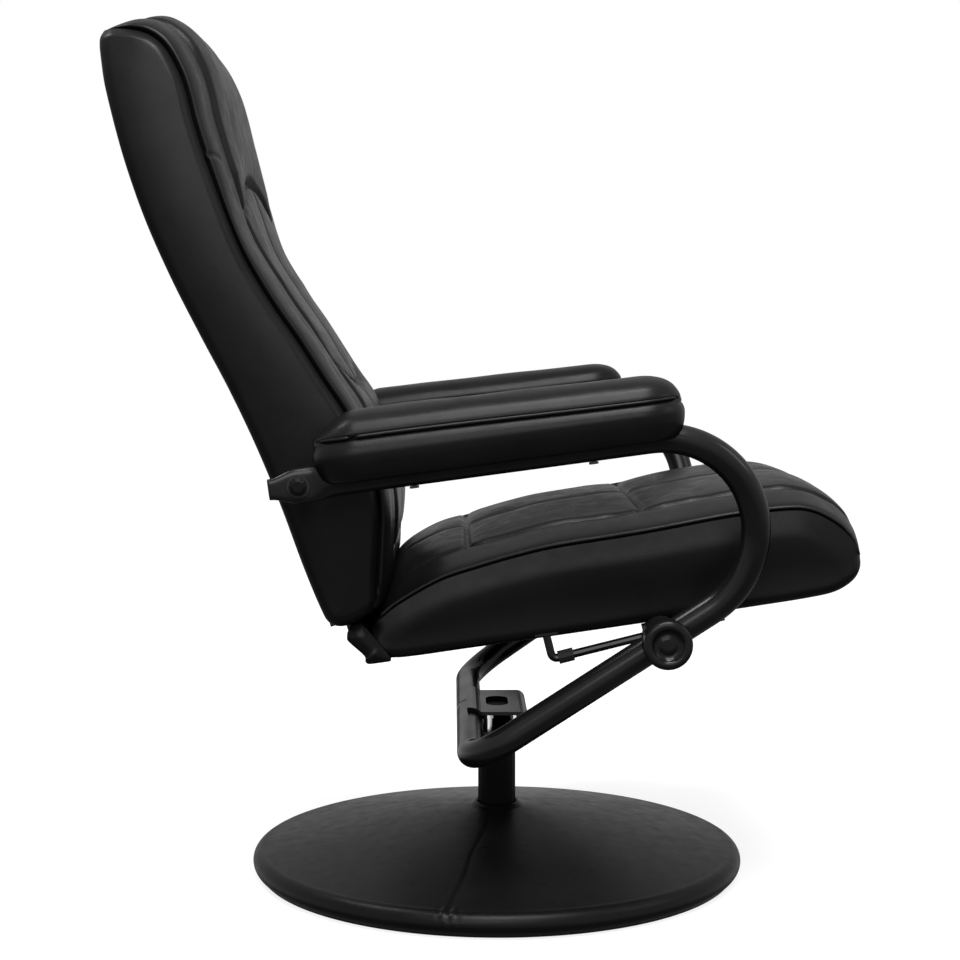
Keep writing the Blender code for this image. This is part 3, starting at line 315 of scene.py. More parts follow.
# Arm tube and pads: the arm line, its front bend, the rake and the cross tube
ARM_PIVOT = (-0.205, 0.481)
ARM_SLOPE = 7.6
ARM_LINE_END = 0.345
ARM_OUT = 0.335
LOOP_FLARE = 12.5
TUBE_RADIUS = 0.015
BEND_CENTRE = (0.157, 0.4304)
BEND_RADIUS = 0.098
BEND_TO = -56.1
CROSS = (-0.0325, 0.185)
CROSS_FILLET = 0.060
CROSS_OVERLAP = 0.0006
TAIL = 0.030
TAIL_HALF = 0.0105
LOBE_HALF = 0.0175
FLAT_HALF = 0.0060
FLAT_AHEAD = 0.012
FLAT_RAMP = 0.026
FLAT_CORNERS = 0.55
ROUND_MORE = 0.45
PAD_START = 0.020
PAD_END = 0.388
PAD_HALF = 0.045
PAD_WELT = 0.0425
PAD_WELT_IN = 0.0012
PAD_WELT_UP = 0.0419
PAD_WELT_SKIP = 3
PAD_REAR_DROP = 0.0175
PAD_REAR_END = 0.066
PAD_REAR_RAMP = 0.056
PAD_FRONT_THIN = 0.0050
PAD_THIN_FROM = 0.08
PAD_THIN_RAMP = 0.30
PAD_THIN_LOW = 0.020
PAD_THIN_RISE = 0.03
PAD_RAISE = 0.0015
PAD_GROOVE = 0.0405
PAD_GROOVE_UP = (0.0355, 0.0445)
PAD_GROOVE_FILL = (0.0455, 0.0444)
PAD_GROOVE_OUT = 0.03
PAD_NOTCH_FROM = 0.25
PAD_NOTCH_RAMP = 0.5
PAD_UNEVEN_CELL = (0.06, 0.03)
PAD_UNEVEN_SHIFT = (7, 9)
PAD_UNEVEN_LIFT = 0.0012
PAD_UNEVEN_FROM = 0.045
PAD_UNEVEN_RAMP = 0.01
PAD_SEED = 61
PAD_PROFILE = (
    (0.0000, 0.0665),
    (0.0120, 0.0660),
    (0.0220, 0.0641),
    (0.0310, 0.0606),
    (0.0380, 0.0553),
    (0.0424, 0.0490),
    (0.0440, 0.0448),
    (0.0430, 0.0420),
    (0.0392, 0.0402),
    (0.0412, 0.0391),
    (0.0438, 0.0360),
    (0.0458, 0.0322),
    (0.0470, 0.0280),
    (0.0472, 0.0235),
    (0.0458, 0.0150),
    (0.0428, 0.0065),
    (0.0392, 0.0010),
    (0.0335, -0.0020),
    (0.0215, -0.0010),
    (0.0174, 0.0015),
    (0.0168, 0.0080),
    (0.0120, 0.0150),
    (0.0000, 0.0185),
)

# Knobs, turned about their studs
KNOB = (0.1655, 0.3181)
KNOB_PROFILE = (
    (0.0000, 0.3256),
    (0.0055, 0.3255),
    (0.0080, 0.3248),
    (0.0100, 0.3238),
    (0.0125, 0.3240),
    (0.0152, 0.3262),
    (0.0172, 0.3284),
    (0.0196, 0.3292),
    (0.0226, 0.3286),
    (0.0246, 0.3270),
    (0.0250, 0.3250),
    (0.0250, 0.3090),
    (0.0244, 0.3064),
    (0.0228, 0.3052),
    (0.0140, 0.3050),
)

# Base
BASE_RADIUS = 0.287
BASE_RIM = 0.030
BASE_ROUND = 0.013
BASE_DOME = 0.077
POST_RADIUS = 0.022
BASE_LIP = ((0.0006, -0.001), (0.0010, 0.0022), (0.0030, 0.0034), (0.0052, 0.0018))
BASE_FOOT = ((0.009, 0.0024), (0.030, 0.0024))
DOME_START = 0.035
DOME_SWELL = 0.0012
RIM_SWEEP = (80, -55)

# Radial fold in the base's leather, and the puckers where it meets the rim
FOLD_TURN = -1.775
FOLD_WAVE = 0.0012
FOLD_WAVES = 55
FOLD_FROM = 0.03
FOLD_RAMP = 0.02
FOLD_STEP = 0.0007
FOLD_STEP_HALF = 0.004
FOLD_STEP_FADE = 0.05
FOLD_LOWEST = 0.02
CREASE_DEPTH = 0.0004
CREASE_WIDTH = 0.0024
PUCKER_LIFT = 0.0008
PUCKER_PITCH = 0.0017
PUCKER_REACH = 0.012
PUCKER_BEFORE_RIM = 0.012
PUCKER_RAMP = 0.014
PUCKER_LOWEST = 0.012

# Collar round the swivel spindle, under the bracket's slot
COLLAR_HALF_X = 0.0190
COLLAR_PROFILE = (
    (0.0154, 0.1790),
    (0.0196, 0.1790),
    (0.0208, 0.1800),
    (0.0208, 0.1875),
    (0.0220, 0.1896),
    (0.0300, 0.1902),
    (0.0320, 0.1914),
    (0.0324, 0.1932),
    (0.0318, 0.1945),
    (0.0300, 0.1949),
    (0.0154, 0.1949),
    (0.0154, 0.1790),
)

# Leather gutter round the hinge between backrest and seat
HINGE = np.array((-0.150, 0.317))
GUTTER_RADIUS = 0.0124
GUTTER_SWEEP = (75.0, 232.0)
GUTTER_SKIP = 4
GUTTER_TOE = (
    (-0.0228, 0.0040),
    (-0.0223, -0.0024),
    (-0.0196, -0.0054),
    (-0.0120, -0.0060),
    (0.0040, -0.0060),
)
GUTTER_TIP = 0.004
GUTTER_SPINE = (0.004, 0.012)
GUTTER_HALF = 0.2515
GUTTER_WALL = 0.0012
GUTTER_EDGE = 0.0006

# Studio: pale floor, soft world, and lamps as name, place, height aimed at, width and height, power
FLOOR_HALF = 14
FLOOR_GREY = 0.20
FLOOR_NEAR = 0.30
FLOOR_FAR = 0.75
FLOOR_PALE = 0.84
WORLD_LIGHT = 0.12
LAMPS = (
    ("key", (0.25, -0.65, 2.7), 0.45, (1.0, 0.40), 48.0),
    ("middle", (0.1, -1.35, 2.45), 0.45, (1.5, 1.4), 120.0),
    ("rear", (-1.45, 0.1, 2.4), 0.45, (0.5, 0.5), 26.0),
    ("near", (-0.3, -2.9, 1.60), 0.55, (2.2, 1.0), 54.0),
    ("front", (2.3, -0.6, 1.7), 0.5, (0.8, 1.0), 9.0),
)


def link(name, mesh, smooth=True):
    """Object for a mesh made in the row frame."""
    rounded = [smooth and len(face.vertices) <= 4 for face in mesh.polygons]
    mesh.polygons.foreach_set("use_smooth", rounded)
    piece = bpy.data.objects.new(name, mesh)
    bpy.context.scene.collection.objects.link(piece)
    return piece


def grid_faces(rows, cols, wrap=False):
    index = np.arange(rows * cols).reshape(rows, cols)
    if wrap:
        index = np.concatenate([index, index[:, :1]], axis=1)
    corners = [index[:-1, :-1], index[:-1, 1:], index[1:, 1:], index[1:, :-1]]
    return np.stack(corners, axis=-1).reshape(-1, 4).tolist()


def make_mesh(name, points, faces, merge=MERGE):
    """Mesh with its doubles merged and its faces turned outwards."""
    mesh = bpy.data.meshes.new(name)
    mesh.from_pydata(np.asarray(points).reshape(-1, 3).tolist(), [], faces)
    bm = bmesh.new()
    bm.from_mesh(mesh)
    bmesh.ops.remove_doubles(bm, verts=bm.verts, dist=merge)
    bmesh.ops.dissolve_degenerate(bm, edges=bm.edges, dist=merge)
    bmesh.ops.recalc_face_normals(bm, faces=bm.faces)
    bm.to_mesh(mesh)
    bm.free()
    return mesh


def grid_mesh(name, grid, wrap=False):
    rows, cols = grid.shape[:2]
    return make_mesh(name, grid, grid_faces(rows, cols, wrap))


def spline(points, count):
    """Evenly spaced points on a smooth curve through given ones, and how far along they lie."""
    given = np.array(points, float)
    padded = np.vstack([2 * given[0] - given[1], given, 2 * given[-1] - given[-2]])
    dense = []
    for i in range(len(given) - 1):
        p0, p1, p2, p3 = padded[i : i + 4]
        t = np.linspace(0, 1, SPLINE_STEPS, endpoint=False)[:, None]
        curve = 2 * p1 + (p2 - p0) * t + (2 * p0 - 5 * p1 + 4 * p2 - p3) * t**2
        curve = curve + (3 * p1 - p0 - 3 * p2 + p3) * t**3
        dense.append(0.5 * curve)
    dense = np.vstack(dense + [given[-1:]])
    steps = np.concatenate([[0], np.cumsum(np.linalg.norm(np.diff(dense, axis=0), axis=1))])
    wanted = np.linspace(0, steps[-1], count)
    result = [np.interp(wanted, steps, dense[:, k]) for k in range(given.shape[1])]
    return np.stack(result, axis=1), wanted


def normals(path, turn):
    """Unit normals of a plane path, to the left of it for turn 1 and to the right for -1."""
    tangent = np.gradient(path, axis=0)
    tangent /= np.linalg.norm(tangent, axis=1)[:, None]
    return np.stack([-tangent[:, 1], tangent[:, 0]], axis=1) * turn


def smooth01(value):
    value = np.clip(value, 0, 1)
    return value * value * (3 - 2 * value)


def quarter(distance, reach, bend=2.0):
    """Rounded rise from 0 at an edge to 1 at a reach in from it."""
    left = 1 - np.clip(distance / reach, 0, 1)
    return (1 - left**bend) ** (1 / bend)


def noise(u, v, seed):
    """Smooth random field from 0 to 1, one cell to a unit."""
    table = np.random.default_rng(seed).random((NOISE_CELLS, NOISE_CELLS))
    iu = np.floor(u).astype(int)
    iv = np.floor(v).astype(int)
    fu = smooth01(u - iu)
    fv = smooth01(v - iv)
    low = table[iu % NOISE_CELLS, iv % NOISE_CELLS] * (1 - fv)
    low = low + table[iu % NOISE_CELLS, (iv + 1) % NOISE_CELLS] * fv
    high = table[(iu + 1) % NOISE_CELLS, iv % NOISE_CELLS] * (1 - fv)
    high = high + table[(iu + 1) % NOISE_CELLS, (iv + 1) % NOISE_CELLS] * fv
    return low * (1 - fu) + high * fu


def folds(along, away, pitch, reach, seed):
    """Gathers square to a seam, strongest at it and gone a few reaches away."""
    wave = noise(along / pitch, away / (3 * reach), seed)
    crest = 1 - np.abs(2 * wave - 1)
    return (crest - 0.5) * np.exp(-np.abs(away) / reach)


def rings_mesh(name, points, halves, first_side, sides, powers=None):
    """Capped tube along points, with half width, half height and corner power at each."""
    points = np.array(points, float)
    tangent = np.gradient(points, axis=0)
    tangent /= np.linalg.norm(tangent, axis=1)[:, None]
    turn = np.linspace(0, 2 * math.pi, sides, endpoint=False)
    side = np.array(first_side, float)
    rings = []
    for i in range(len(points)):
        side = side - tangent[i] * np.dot(side, tangent[i])
        side /= np.linalg.norm(side)
        up = np.cross(tangent[i], side)
        power = 1.0 if powers is None else powers[i]
        wide = np.sign(np.cos(turn)) * np.abs(np.cos(turn)) ** power * halves[i][0]
        tall = np.sign(np.sin(turn)) * np.abs(np.sin(turn)) ** power * halves[i][1]
        rings.append(points[i] + wide[:, None] * side + tall[:, None] * up)
    rings = np.array(rings)
    faces = grid_faces(len(points), sides, wrap=True)
    faces.append(list(range(sides)))
    faces.append(list(range((len(points) - 1) * sides, len(points) * sides)))
    return make_mesh(name, rings, faces)


def welt_mesh(name, route):
    """Piping along a route, thinner at both ends."""
    halves = [(WELT_RADIUS, WELT_RADIUS)] * len(route)
    halves[0] = (WELT_RADIUS * WELT_TIP, WELT_RADIUS * WELT_TIP)
    halves[-1] = halves[0]
    return rings_mesh(name, route, halves, WELT_FIRST_SIDE, WELT_SIDES)


def lathe_mesh(name, profile, sides, place):
    """Turned mesh: place puts radius, height and turn arrays into the row frame."""
    turn = np.linspace(0, 2 * math.pi, sides, endpoint=False)
    radius = np.repeat(profile[:, 0][:, None], sides, axis=1)
    height = np.repeat(profile[:, 1][:, None], sides, axis=1)
    return grid_mesh(name, place(radius, height, turn), wrap=True)


# Materials


def new_material(name):
    material = bpy.data.materials.new(name)
    material.use_nodes = True
    shader = material.node_tree.nodes["Principled BSDF"]
    return material, material.node_tree, shader


def node(tree, kind, **values):
    made = tree.nodes.new(kind)
    for key, value in values.items():
        if key in made.inputs:
            made.inputs[key].default_value = value
        else:
            setattr(made, key, value)
    return made


def ramp(tree, source, low, high, first, second):
    """Colour that goes from first to second as the source goes from low to high."""
    made = tree.nodes.new("ShaderNodeValToRGB")
    for element, position, colour in zip(made.color_ramp.elements, (low, high), (first, second)):
        element.position = position
        element.color = (*colour, 1)
    tree.links.new(source, made.inputs["Fac"])
    return made.outputs["Color"]


def scaled(tree, source, low, high, first, second):
    """Value that goes from first to second as the source goes from low to high."""
    made = node(tree, "ShaderNodeMapRange")
    for key, value in (("From Min", low), ("From Max", high), ("To Min", first), ("To Max", second)):
        made.inputs[key].default_value = value
    tree.links.new(source, made.inputs["Value"])
    return made.outputs["Result"]


def combined(tree, operation, first, second):
    """One value from two, by a named operation."""
    made = node(tree, "ShaderNodeMath", operation=operation)
    tree.links.new(first, made.inputs[0])
    tree.links.new(second, made.inputs[1])
    return made.outputs["Value"]


def bump(tree, height, strength, distance, under=None):
    """Normals bent by a height, over those of another bump if one is given."""
    made = node(tree, "ShaderNodeBump", Strength=strength, Distance=distance)
    tree.links.new(height, made.inputs["Height"])
    if under is not None:
        tree.links.new(under, made.inputs["Normal"])
    return made.outputs["Normal"]


def slanted_gloss(tree, shader, level, least):
    """Gloss that falls off at a slant, and on faces that look down as painted shade on the undersides."""
    slant = node(tree, "ShaderNodeLayerWeight", Blend=0.5)
    gloss = scaled(tree, slant.outputs["Facing"], SLANT_FROM, SLANT_TO, level, level * least)
    split = tree.nodes.new("ShaderNodeSeparateXYZ")
    tree.links.new(tree.nodes.new("ShaderNodeNewGeometry").outputs["Normal"], split.inputs["Vector"])
    # Less gloss on faces that look down: painted shade on the undersides.
    under = scaled(tree, split.outputs["Z"], UNDER_FROM, UNDER_TO, UNDER_GLOSS, 1.0)
    shader.inputs["Specular IOR Level"].default_value = level
    tree.links.new(combined(tree, "MULTIPLY", gloss, under), shader.inputs["Specular IOR Level"])


def leather(name, colour, worn, rough, level, grain=620.0):
    """Grained faux leather: pebbled cells, fine pores, soft creases and a little wear."""
    material, tree, shader = new_material(name)
    place = tree.nodes.new("ShaderNodeTexCoord").outputs["Object"]
    cells = node(tree, "ShaderNodeTexVoronoi", feature="DISTANCE_TO_EDGE", Scale=grain)
    pores = node(tree, "ShaderNodeTexNoise", Scale=2400.0, Detail=2.0)
    creases = node(tree, "ShaderNodeTexNoise", Scale=60.0, Detail=4.0, Roughness=0.55)
    patches = node(tree, "ShaderNodeTexNoise", Scale=9.0, Detail=3.0)
    warp = node(tree, "ShaderNodeTexNoise", Scale=90.0, Detail=2.0)
    shift = node(tree, "ShaderNodeVectorMath", operation="MULTIPLY_ADD")
    shift.inputs[1].default_value = (PEBBLE_WARP, PEBBLE_WARP, PEBBLE_WARP)
    tree.links.new(place, warp.inputs["Vector"])
    tree.links.new(warp.outputs["Color"], shift.inputs[0])
    tree.links.new(place, shift.inputs[2])
    tree.links.new(shift.outputs["Vector"], cells.inputs["Vector"])
    for texture in (pores, creases, patches):
        tree.links.new(place, texture.inputs["Vector"])
    colours = ramp(tree, patches.outputs["Fac"], 0.35, 0.75, colour, worn)
    tree.links.new(colours, shader.inputs["Base Color"])
    dull = scaled(tree, creases.outputs["Fac"], 0.3, 0.7, rough - 0.04, rough + 0.05)
    tree.links.new(dull, shader.inputs["Roughness"])
    pebble = scaled(tree, cells.outputs["Distance"], 0.0, 0.35, 0.0, 1.0)
    first = bump(tree, creases.outputs["Fac"], *CREASE_BUMP)
    second = bump(tree, pebble, *PEBBLE_BUMP, first)
    third = bump(tree, pores.outputs["Fac"], *PORE_BUMP, second)
    tree.links.new(third, shader.inputs["Normal"])
    slanted_gloss(tree, shader, level, LEATHER_LEAST)
    return material


def coated(name, colour, rough, fleck, level=0.5, metallic=0.0):
    """Painted or moulded surface with fine orange peel and slight patches."""
    material, tree, shader = new_material(name)
    place = tree.nodes.new("ShaderNodeTexCoord").outputs["Object"]
    peel = node(tree, "ShaderNodeTexNoise", Scale=fleck, Detail=2.0)
    patches = node(tree, "ShaderNodeTexNoise", Scale=22.0, Detail=3.0)
    for texture in (peel, patches):
        tree.links.new(place, texture.inputs["Vector"])
    brighter = tuple(min(1.0, c * PATCH_BRIGHTER) for c in colour)
    colours = ramp(tree, patches.outputs["Fac"], 0.35, 0.7, colour, brighter)
    tree.links.new(colours, shader.inputs["Base Color"])
    dull = scaled(tree, patches.outputs["Fac"], 0.3, 0.7, rough - 0.03, rough + 0.04)
    tree.links.new(dull, shader.inputs["Roughness"])
    tree.links.new(bump(tree, peel.outputs["Fac"], *PEEL_BUMP), shader.inputs["Normal"])
    shader.inputs["Metallic"].default_value = metallic
    if metallic > 0:
        shader.inputs["Specular IOR Level"].default_value = level
    else:
        slanted_gloss(tree, shader, level, COATED_LEAST)
    return material


def plywood(name):
    """Layered birch: long grain with thin dark streaks."""
    material, tree, shader = new_material(name)
    place = tree.nodes.new("ShaderNodeTexCoord").outputs["Object"]
    stretch = node(tree, "ShaderNodeMapping", Scale=(6.0, 60.0, 220.0))
    streaks = node(tree, "ShaderNodeTexNoise", Scale=3.0, Detail=5.0, Roughness=0.6)
    tree.links.new(place, stretch.inputs["Vector"])
    tree.links.new(stretch.outputs["Vector"], streaks.inputs["Vector"])
    grain = ramp(tree, streaks.outputs["Fac"], 0.3, 0.75, (0.36, 0.23, 0.12), (0.60, 0.43, 0.25))
    tree.links.new(grain, shader.inputs["Base Color"])
    tree.links.new(bump(tree, streaks.outputs["Fac"], *GRAIN_BUMP), shader.inputs["Normal"])
    shader.inputs["Roughness"].default_value = 0.62
    return material


LEATHER = leather("leather", (0.0030, 0.0030, 0.0032), (0.0046, 0.0046, 0.0048), 0.31, 0.062)
# The piping's leather is lighter and glossier than the cover's: a painted highlight along the piping.
WELT = leather("leather_welt", (0.0065, 0.0065, 0.0068), (0.0090, 0.0090, 0.0094), 0.28, 0.085, 900.0)
PAINT = coated("black_paint", (0.0034, 0.0034, 0.0036), 0.22, 260.0, level=0.15)
DULL_PAINT = coated("dull_black_paint", (0.0030, 0.0030, 0.0032), 0.42, 420.0, level=0.03)
PLASTIC = coated("black_plastic", (0.0040, 0.0040, 0.0042), 0.20, 420.0, level=0.085)
RUBBER = coated("rubber", (0.0090, 0.0090, 0.0090), 0.70, 700.0, level=0.1)
STEEL = coated("steel", (0.50, 0.50, 0.51), 0.30, 600.0, metallic=1.0)
DARK_STEEL = coated("dark_steel", (0.030, 0.030, 0.032), 0.30, 600.0, metallic=1.0)
NYLON = coated("nylon", (0.62, 0.61, 0.56), 0.46, 500.0)
PLYWOOD = plywood("plywood")

FINISH = {
    "leather": LEATHER,
    "black_paint": PAINT,
    "black_plastic": PLASTIC,
    "rubber": RUBBER,
    "steel": STEEL,
    "nylon": NYLON,
    "plywood": PLYWOOD,
}
# Parts given darker finishes than their slots: rubber for the pivot washers, dull black paint for the
# pivot bolts, post and spindle, and dark steel for the hinge pins and arm screws. The arm screws' dark
# steel is painted shade under the pads. The post's dull black is partly its own and partly painted shade
# under the seat.
DARKENED = {
    "pivot_washer": RUBBER,
    "pivot_bolt": DULL_PAINT,
    "hinge_pin": DARK_STEEL,
    "arm_screw": DARK_STEEL,
    "base_post": DULL_PAINT,
    "swivel_spindle": DULL_PAINT,
}
for row in frame["record"]["subparts"]:
    shown = nodes[row["node"]]
    finish = FINISH[row["material_slot"]]
    for start, darker in DARKENED.items():
        if row["node"].startswith(start):
            finish = darker
    shown.data.materials.clear()
    shown.data.materials.append(finish)


def dress(piece, material, body):
    """Material and body of a finished piece."""
    piece.data.materials.clear()
    piece.data.materials.append(material)
    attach(piece, body)
    return piece


# Padded boxes: two side panels and a plain strip along one side line, and a sewn panel along the other


def line_distance(points, line):
    """Distance of each point of a grid to a side line."""
    dense, _ = spline(line, DISTANCE_POINTS)
    tree = kdtree.KDTree(len(dense))
    for i, (x, z) in enumerate(dense):
        tree.insert((x, z, 0.0), i)
    tree.balance()
    flat = points.reshape(-1, 2)
    found = [tree.find((x, z, 0.0))[2] for x, z in flat]
    return np.array(found).reshape(points.shape[:2])


def row_ends(count, rows):
    """0 at the first and last of count rows, rising to 1 some rows in."""
    index = np.arange(count)
    return smooth01(np.minimum(index, index[::-1]) / rows)[:, None]


def padded_box(name, plain, sewn, away_sewn, half, bulge, rolls, strip, raise_by):
    """Closed padded box: rolled sides, a crowned strip along the plain line, a face under the panel."""
    share = 0.5 - 0.5 * np.cos(math.pi * np.linspace(0, 1, SIDE_STEPS))
    flat = plain[:, None, :] * (1 - share)[None, :, None] + sewn[:, None, :] * share[None, :, None]
    near_plain = line_distance(flat, plain)
    near_sewn = line_distance(flat, sewn)
    near_plain[:, 0] = 0
    near_sewn[:, -1] = 0
    inward = rolls[0] * (1 - quarter(near_plain, rolls[0]))
    inward = inward + rolls[1] * np.clip(1 - near_sewn / rolls[2], 0, 1) ** ROLL_BEND
    inward = np.minimum(inward, rolls[0] + rolls[1])
    across = half[:, None] - inward + bulge(share[None, :], near_plain, near_sewn)
    grids = [np.stack([flat[:, :, 0], side * across, flat[:, :, 1]], axis=-1) for side in SIDES.values()]
    ends = row_ends(len(plain), BOX_END_ROWS)
    wide = np.linspace(-1, 1, STRIP_COLUMNS)
    outward, crown = strip
    away = normals(plain, outward)
    lift = crown * (1 - wide[None, :] ** 4) * ends
    strip_x = plain[:, :1] + away[:, :1] * lift
    strip_z = plain[:, 1:] + away[:, 1:] * lift
    grids.append(np.stack([strip_x, wide[None, :] * across[:, :1], strip_z], axis=-1))
    sunk = np.concatenate([[-1], np.linspace(-GROOVE_EDGE, GROOVE_EDGE, STRIP_COLUMNS), [1]])
    drop = GROOVE_SINK * (np.abs(sunk) < 1)[None, :] * ends
    sunk_x = sewn[:, :1] - away_sewn[:, :1] * drop
    sunk_z = sewn[:, 1:] - away_sewn[:, 1:] * drop
    grids.append(np.stack([sunk_x, sunk[None, :] * across[:, -1:], sunk_z], axis=-1))
    points = []
    faces = []
    for grid in grids:
        start = len(points) // 3
        faces += [[start + i for i in face] for face in grid_faces(*grid.shape[:2])]
        points += (grid + raise_by(grid)).reshape(-1).tolist()
    return make_mesh(name, points, faces, BOX_MERGE)


def sewn_panel(name, path, away, half, panel, relief, raise_by):
    """Closed sewn panel: bellied shoulders, a relief between them and a plain underside."""
    turn = np.linspace(0, math.pi / 2, SHOULDER_STEPS)[:-1]
    inner = half - panel["inset"]
    shoulder = panel["shoulder"]
    falls = [1 - math.cos(angle) for angle in turn]
    edges = [inner - shoulder * fall for fall in falls]
    columns = [-column for column in edges]
    columns += [share * (inner - shoulder) for share in np.linspace(-1, 1, PANEL_COLUMNS)]
    columns += edges[::-1]
    across = np.array(columns).T
    height = relief(across)
    height[:, [0, -1]] = -PANEL_SINK
    height[[0, -1], :] = -PANEL_SINK
    x = path[:, 0][:, None] + away[:, 0][:, None] * height
    z = path[:, 1][:, None] + away[:, 1][:, None] * height
    risen = quarter(inner[:, None] - np.abs(across), shoulder, panel["bend"])
    belly = panel["belly"] * np.sin(math.pi * risen) * row_ends(len(path), PANEL_END_ROWS)
    grid = np.stack([x, across + np.sign(across) * belly, z], axis=-1)
    grid = grid + raise_by(grid)
    rows, cols = across.shape
    faces = grid_faces(rows, cols)
    index = np.arange(rows * cols).reshape(rows, cols)
    for i in range(1, rows - 2):
        faces.append([index[i, 0], index[i, -1], index[i + 1, -1], index[i + 1, 0]])
    faces.append(index[0, :].tolist() + [index[1, -1], index[1, 0]])
    faces.append(index[-1, :].tolist() + [index[-2, -1], index[-2, 0]])
    return make_mesh(name, grid, [[int(i) for i in face] for face in faces])


def panel_relief(s, across, half, panel, border, cells):
    """Lift of a sewn panel: shoulder, border, seams, and stuffed cells with gathers along them."""
    edge = half - np.abs(across)
    d = edge - border
    reach = panel["reach"]
    seed = panel["seed"]
    shoulder = quarter(edge - panel["inset"], panel["shoulder"], panel["bend"])
    crown = panel["crown"] * (1 - (across / half) ** 2)
    ridge = panel["ridge"] * smooth01((edge - RIDGE_FROM * border) / (RIDGE_RAMP * border))
    seam = panel["depth"] * np.exp(-((d / panel["stitch"]) ** 2))
    inside = np.zeros_like(s)
    for low, high, one, extra in cells:
        within = (s >= low) & (s <= high) & (d > 0)
        dome = quarter(d, reach) * quarter(s - low, reach) * quarter(high - s, reach)
        cut = np.exp(-((np.minimum(s - low, high - s) / panel["stitch"]) ** 2))
        gather = folds(across, s - low, *ROW_GATHER, seed + 1)
        gather = gather + folds(across, s - high, *ROW_GATHER, seed + 6)
        if not one:
            dome = dome * (MIDDLE_LEAST + MIDDLE_MORE * quarter(np.abs(across), reach))
            cut = np.maximum(cut, MIDDLE_CUT * np.exp(-((across / panel["stitch"]) ** 2)))
            gather = gather + MIDDLE_GATHER_SHARE * folds(s, across, *MIDDLE_GATHER, seed + 2)
        swell = (panel["puff"] + extra) * dome - panel["depth"] * cut + ROW_GATHER_LIFT * gather * dome
        inside = np.where(within, swell, inside)
    inner_folds = folds(s, d, *EDGE_GATHER, seed + 3)
    inside += EDGE_GATHER_LIFT * inner_folds * smooth01(d / EDGE_GATHER_START)
    uneven = noise(s / UNEVEN_CELL, across / UNEVEN_CELL, seed + 4) - 0.5
    uneven = UNEVEN_LIFT * uneven * smooth01(edge / UNEVEN_EDGE)
    outer_folds = BORDER_GATHER_LIFT * folds(s, d, *BORDER_GATHER, seed + 5) * (d < 0)
    lift = panel["lift"] + crown + ridge * np.exp(-np.maximum(d, 0) / RIDGE_FADE) - seam
    return (lift + np.where(d < 0, outer_folds, inside) + uneven) * shoulder


def welt_route(path, away, half, inset, raise_by):
    """Piping along one side line, across the far end and back along the other."""
    steps = np.linalg.norm(np.diff(path, axis=0), axis=1)
    left = np.concatenate([np.cumsum(steps[::-1])[::-1], [0]])
    out = path + away * (WELT_LIFT * smooth01(left / WELT_FADE) - WELT_SINK)[:, None]
    inner = half - inset + WELT_OUT
    near = np.stack([out[:, 0], -inner, out[:, 1]], axis=1)[WELT_FIRST:-WELT_LAST:WELT_SKIP]
    width = inner[-1] - WELT_CORNER
    end = out[-WELT_LAST // 3]
    middle = np.array([(end[0], y, end[1]) for y in np.linspace(-width, width, WELT_ACROSS)])
    route = np.vstack([near, middle, (near * (1, -1, 1))[::-1]])
    route = route + raise_by(route)
    return spline(route, WELT_POINTS)[0]


def no_raise(points):
    """No crown."""
    return np.zeros_like(points)


# Backrest

rear, _ = spline(BACK_REAR, LINE_POINTS)
front, front_s = spline(BACK_FRONT, LINE_POINTS)
climb = np.linspace(0, 1, LINE_POINTS)
narrowing = np.maximum(climb - BACK_NARROWS_FROM, 0) / (1 - BACK_NARROWS_FROM)
back_half = BACK_HALF + (BACK_TOP_HALF - BACK_HALF) * narrowing**2
front_away = normals(front, -1)
back_length = front_s[-1]
rising = front[:, 1] < BACK_RISES_TO
row_s = [float(np.interp(z, front[rising, 1], front_s[rising])) for z in BACK_ROWS_Z]


def back_raise(points):
    """Crown of the backrest's top edge."""
    x, y, z = points[..., 0], points[..., 1], points[..., 2]
    high = smooth01((z - BACK_CROWN_FROM) / BACK_CROWN_RAMP)
    crown = BACK_TOP_CROWN * (1 - (y / BACK_TOP_HALF) ** 2) * high
    return np.stack([0 * x, 0 * y, np.maximum(crown, 0)], axis=-1)


def back_relief(across):
    s = np.repeat(front_s[:, None], across.shape[1], axis=1)
    half = np.repeat(back_half[:, None], across.shape[1], axis=1)
    ends = quarter(s, BACK_LOW_END) * smooth01((back_length - s) / BACK_TOP_END) ** BACK_TOP_POWER
    waist = WAIST_DEPTH * np.exp(-(((s - row_s[2] + WAIST_BELOW) / WAIST_REACH) ** 2))
    wider = smooth01((row_s[2] + WIDER_BELOW - s) / WIDER_RAMP)
    border = BACK_PANEL["border"] + (BACK_PANEL["lower_border"] - BACK_PANEL["border"]) * wider
    inner = half - border
    bow = 1 - np.clip(np.abs(across) / inner, 0, 1) ** 2
    arch = row_s[2] + HEADREST_ARCH * bow
    lumbar = row_s[1] + LUMBAR_ARCH * bow
    cells = (
        (LOW_CELL_START, row_s[0], True, LOW_CELL_EXTRA),
        (row_s[0], lumbar, False, 0.0),
        (lumbar, arch, False, 0.0),
        (arch, back_length + TOP_CELL_PAST, True, HEADREST_EXTRA),
    )
    head = HEADREST_LIFT * smooth01((s - row_s[2]) / HEADREST_RAMP)
    lift = panel_relief(s, across, half, BACK_PANEL, border, cells)
    edge = half - np.abs(across)
    tuck = (s - row_s[2] - TUCK_ABOVE) + TUCK_SLANT * (edge - TUCK_INSET)
    cut = TUCK_DEPTH * np.exp(-((tuck / TUCK_WIDTH) ** 2)) * smooth01((TUCK_REACH - edge) / TUCK_FADE)
    rise = quarter(edge - BACK_PANEL["inset"], BACK_PANEL["shoulder"])
    return (lift + (head - waist) * rise - cut) * ends


def back_bulge(share, near_plain, near_sewn):
    from_rear = 1 - np.exp(-near_plain / BACK_BULGE_REAR)
    from_front = 1 - np.exp(-near_sewn / BACK_BULGE_FRONT)
    return BACK_BULGE * from_rear * from_front


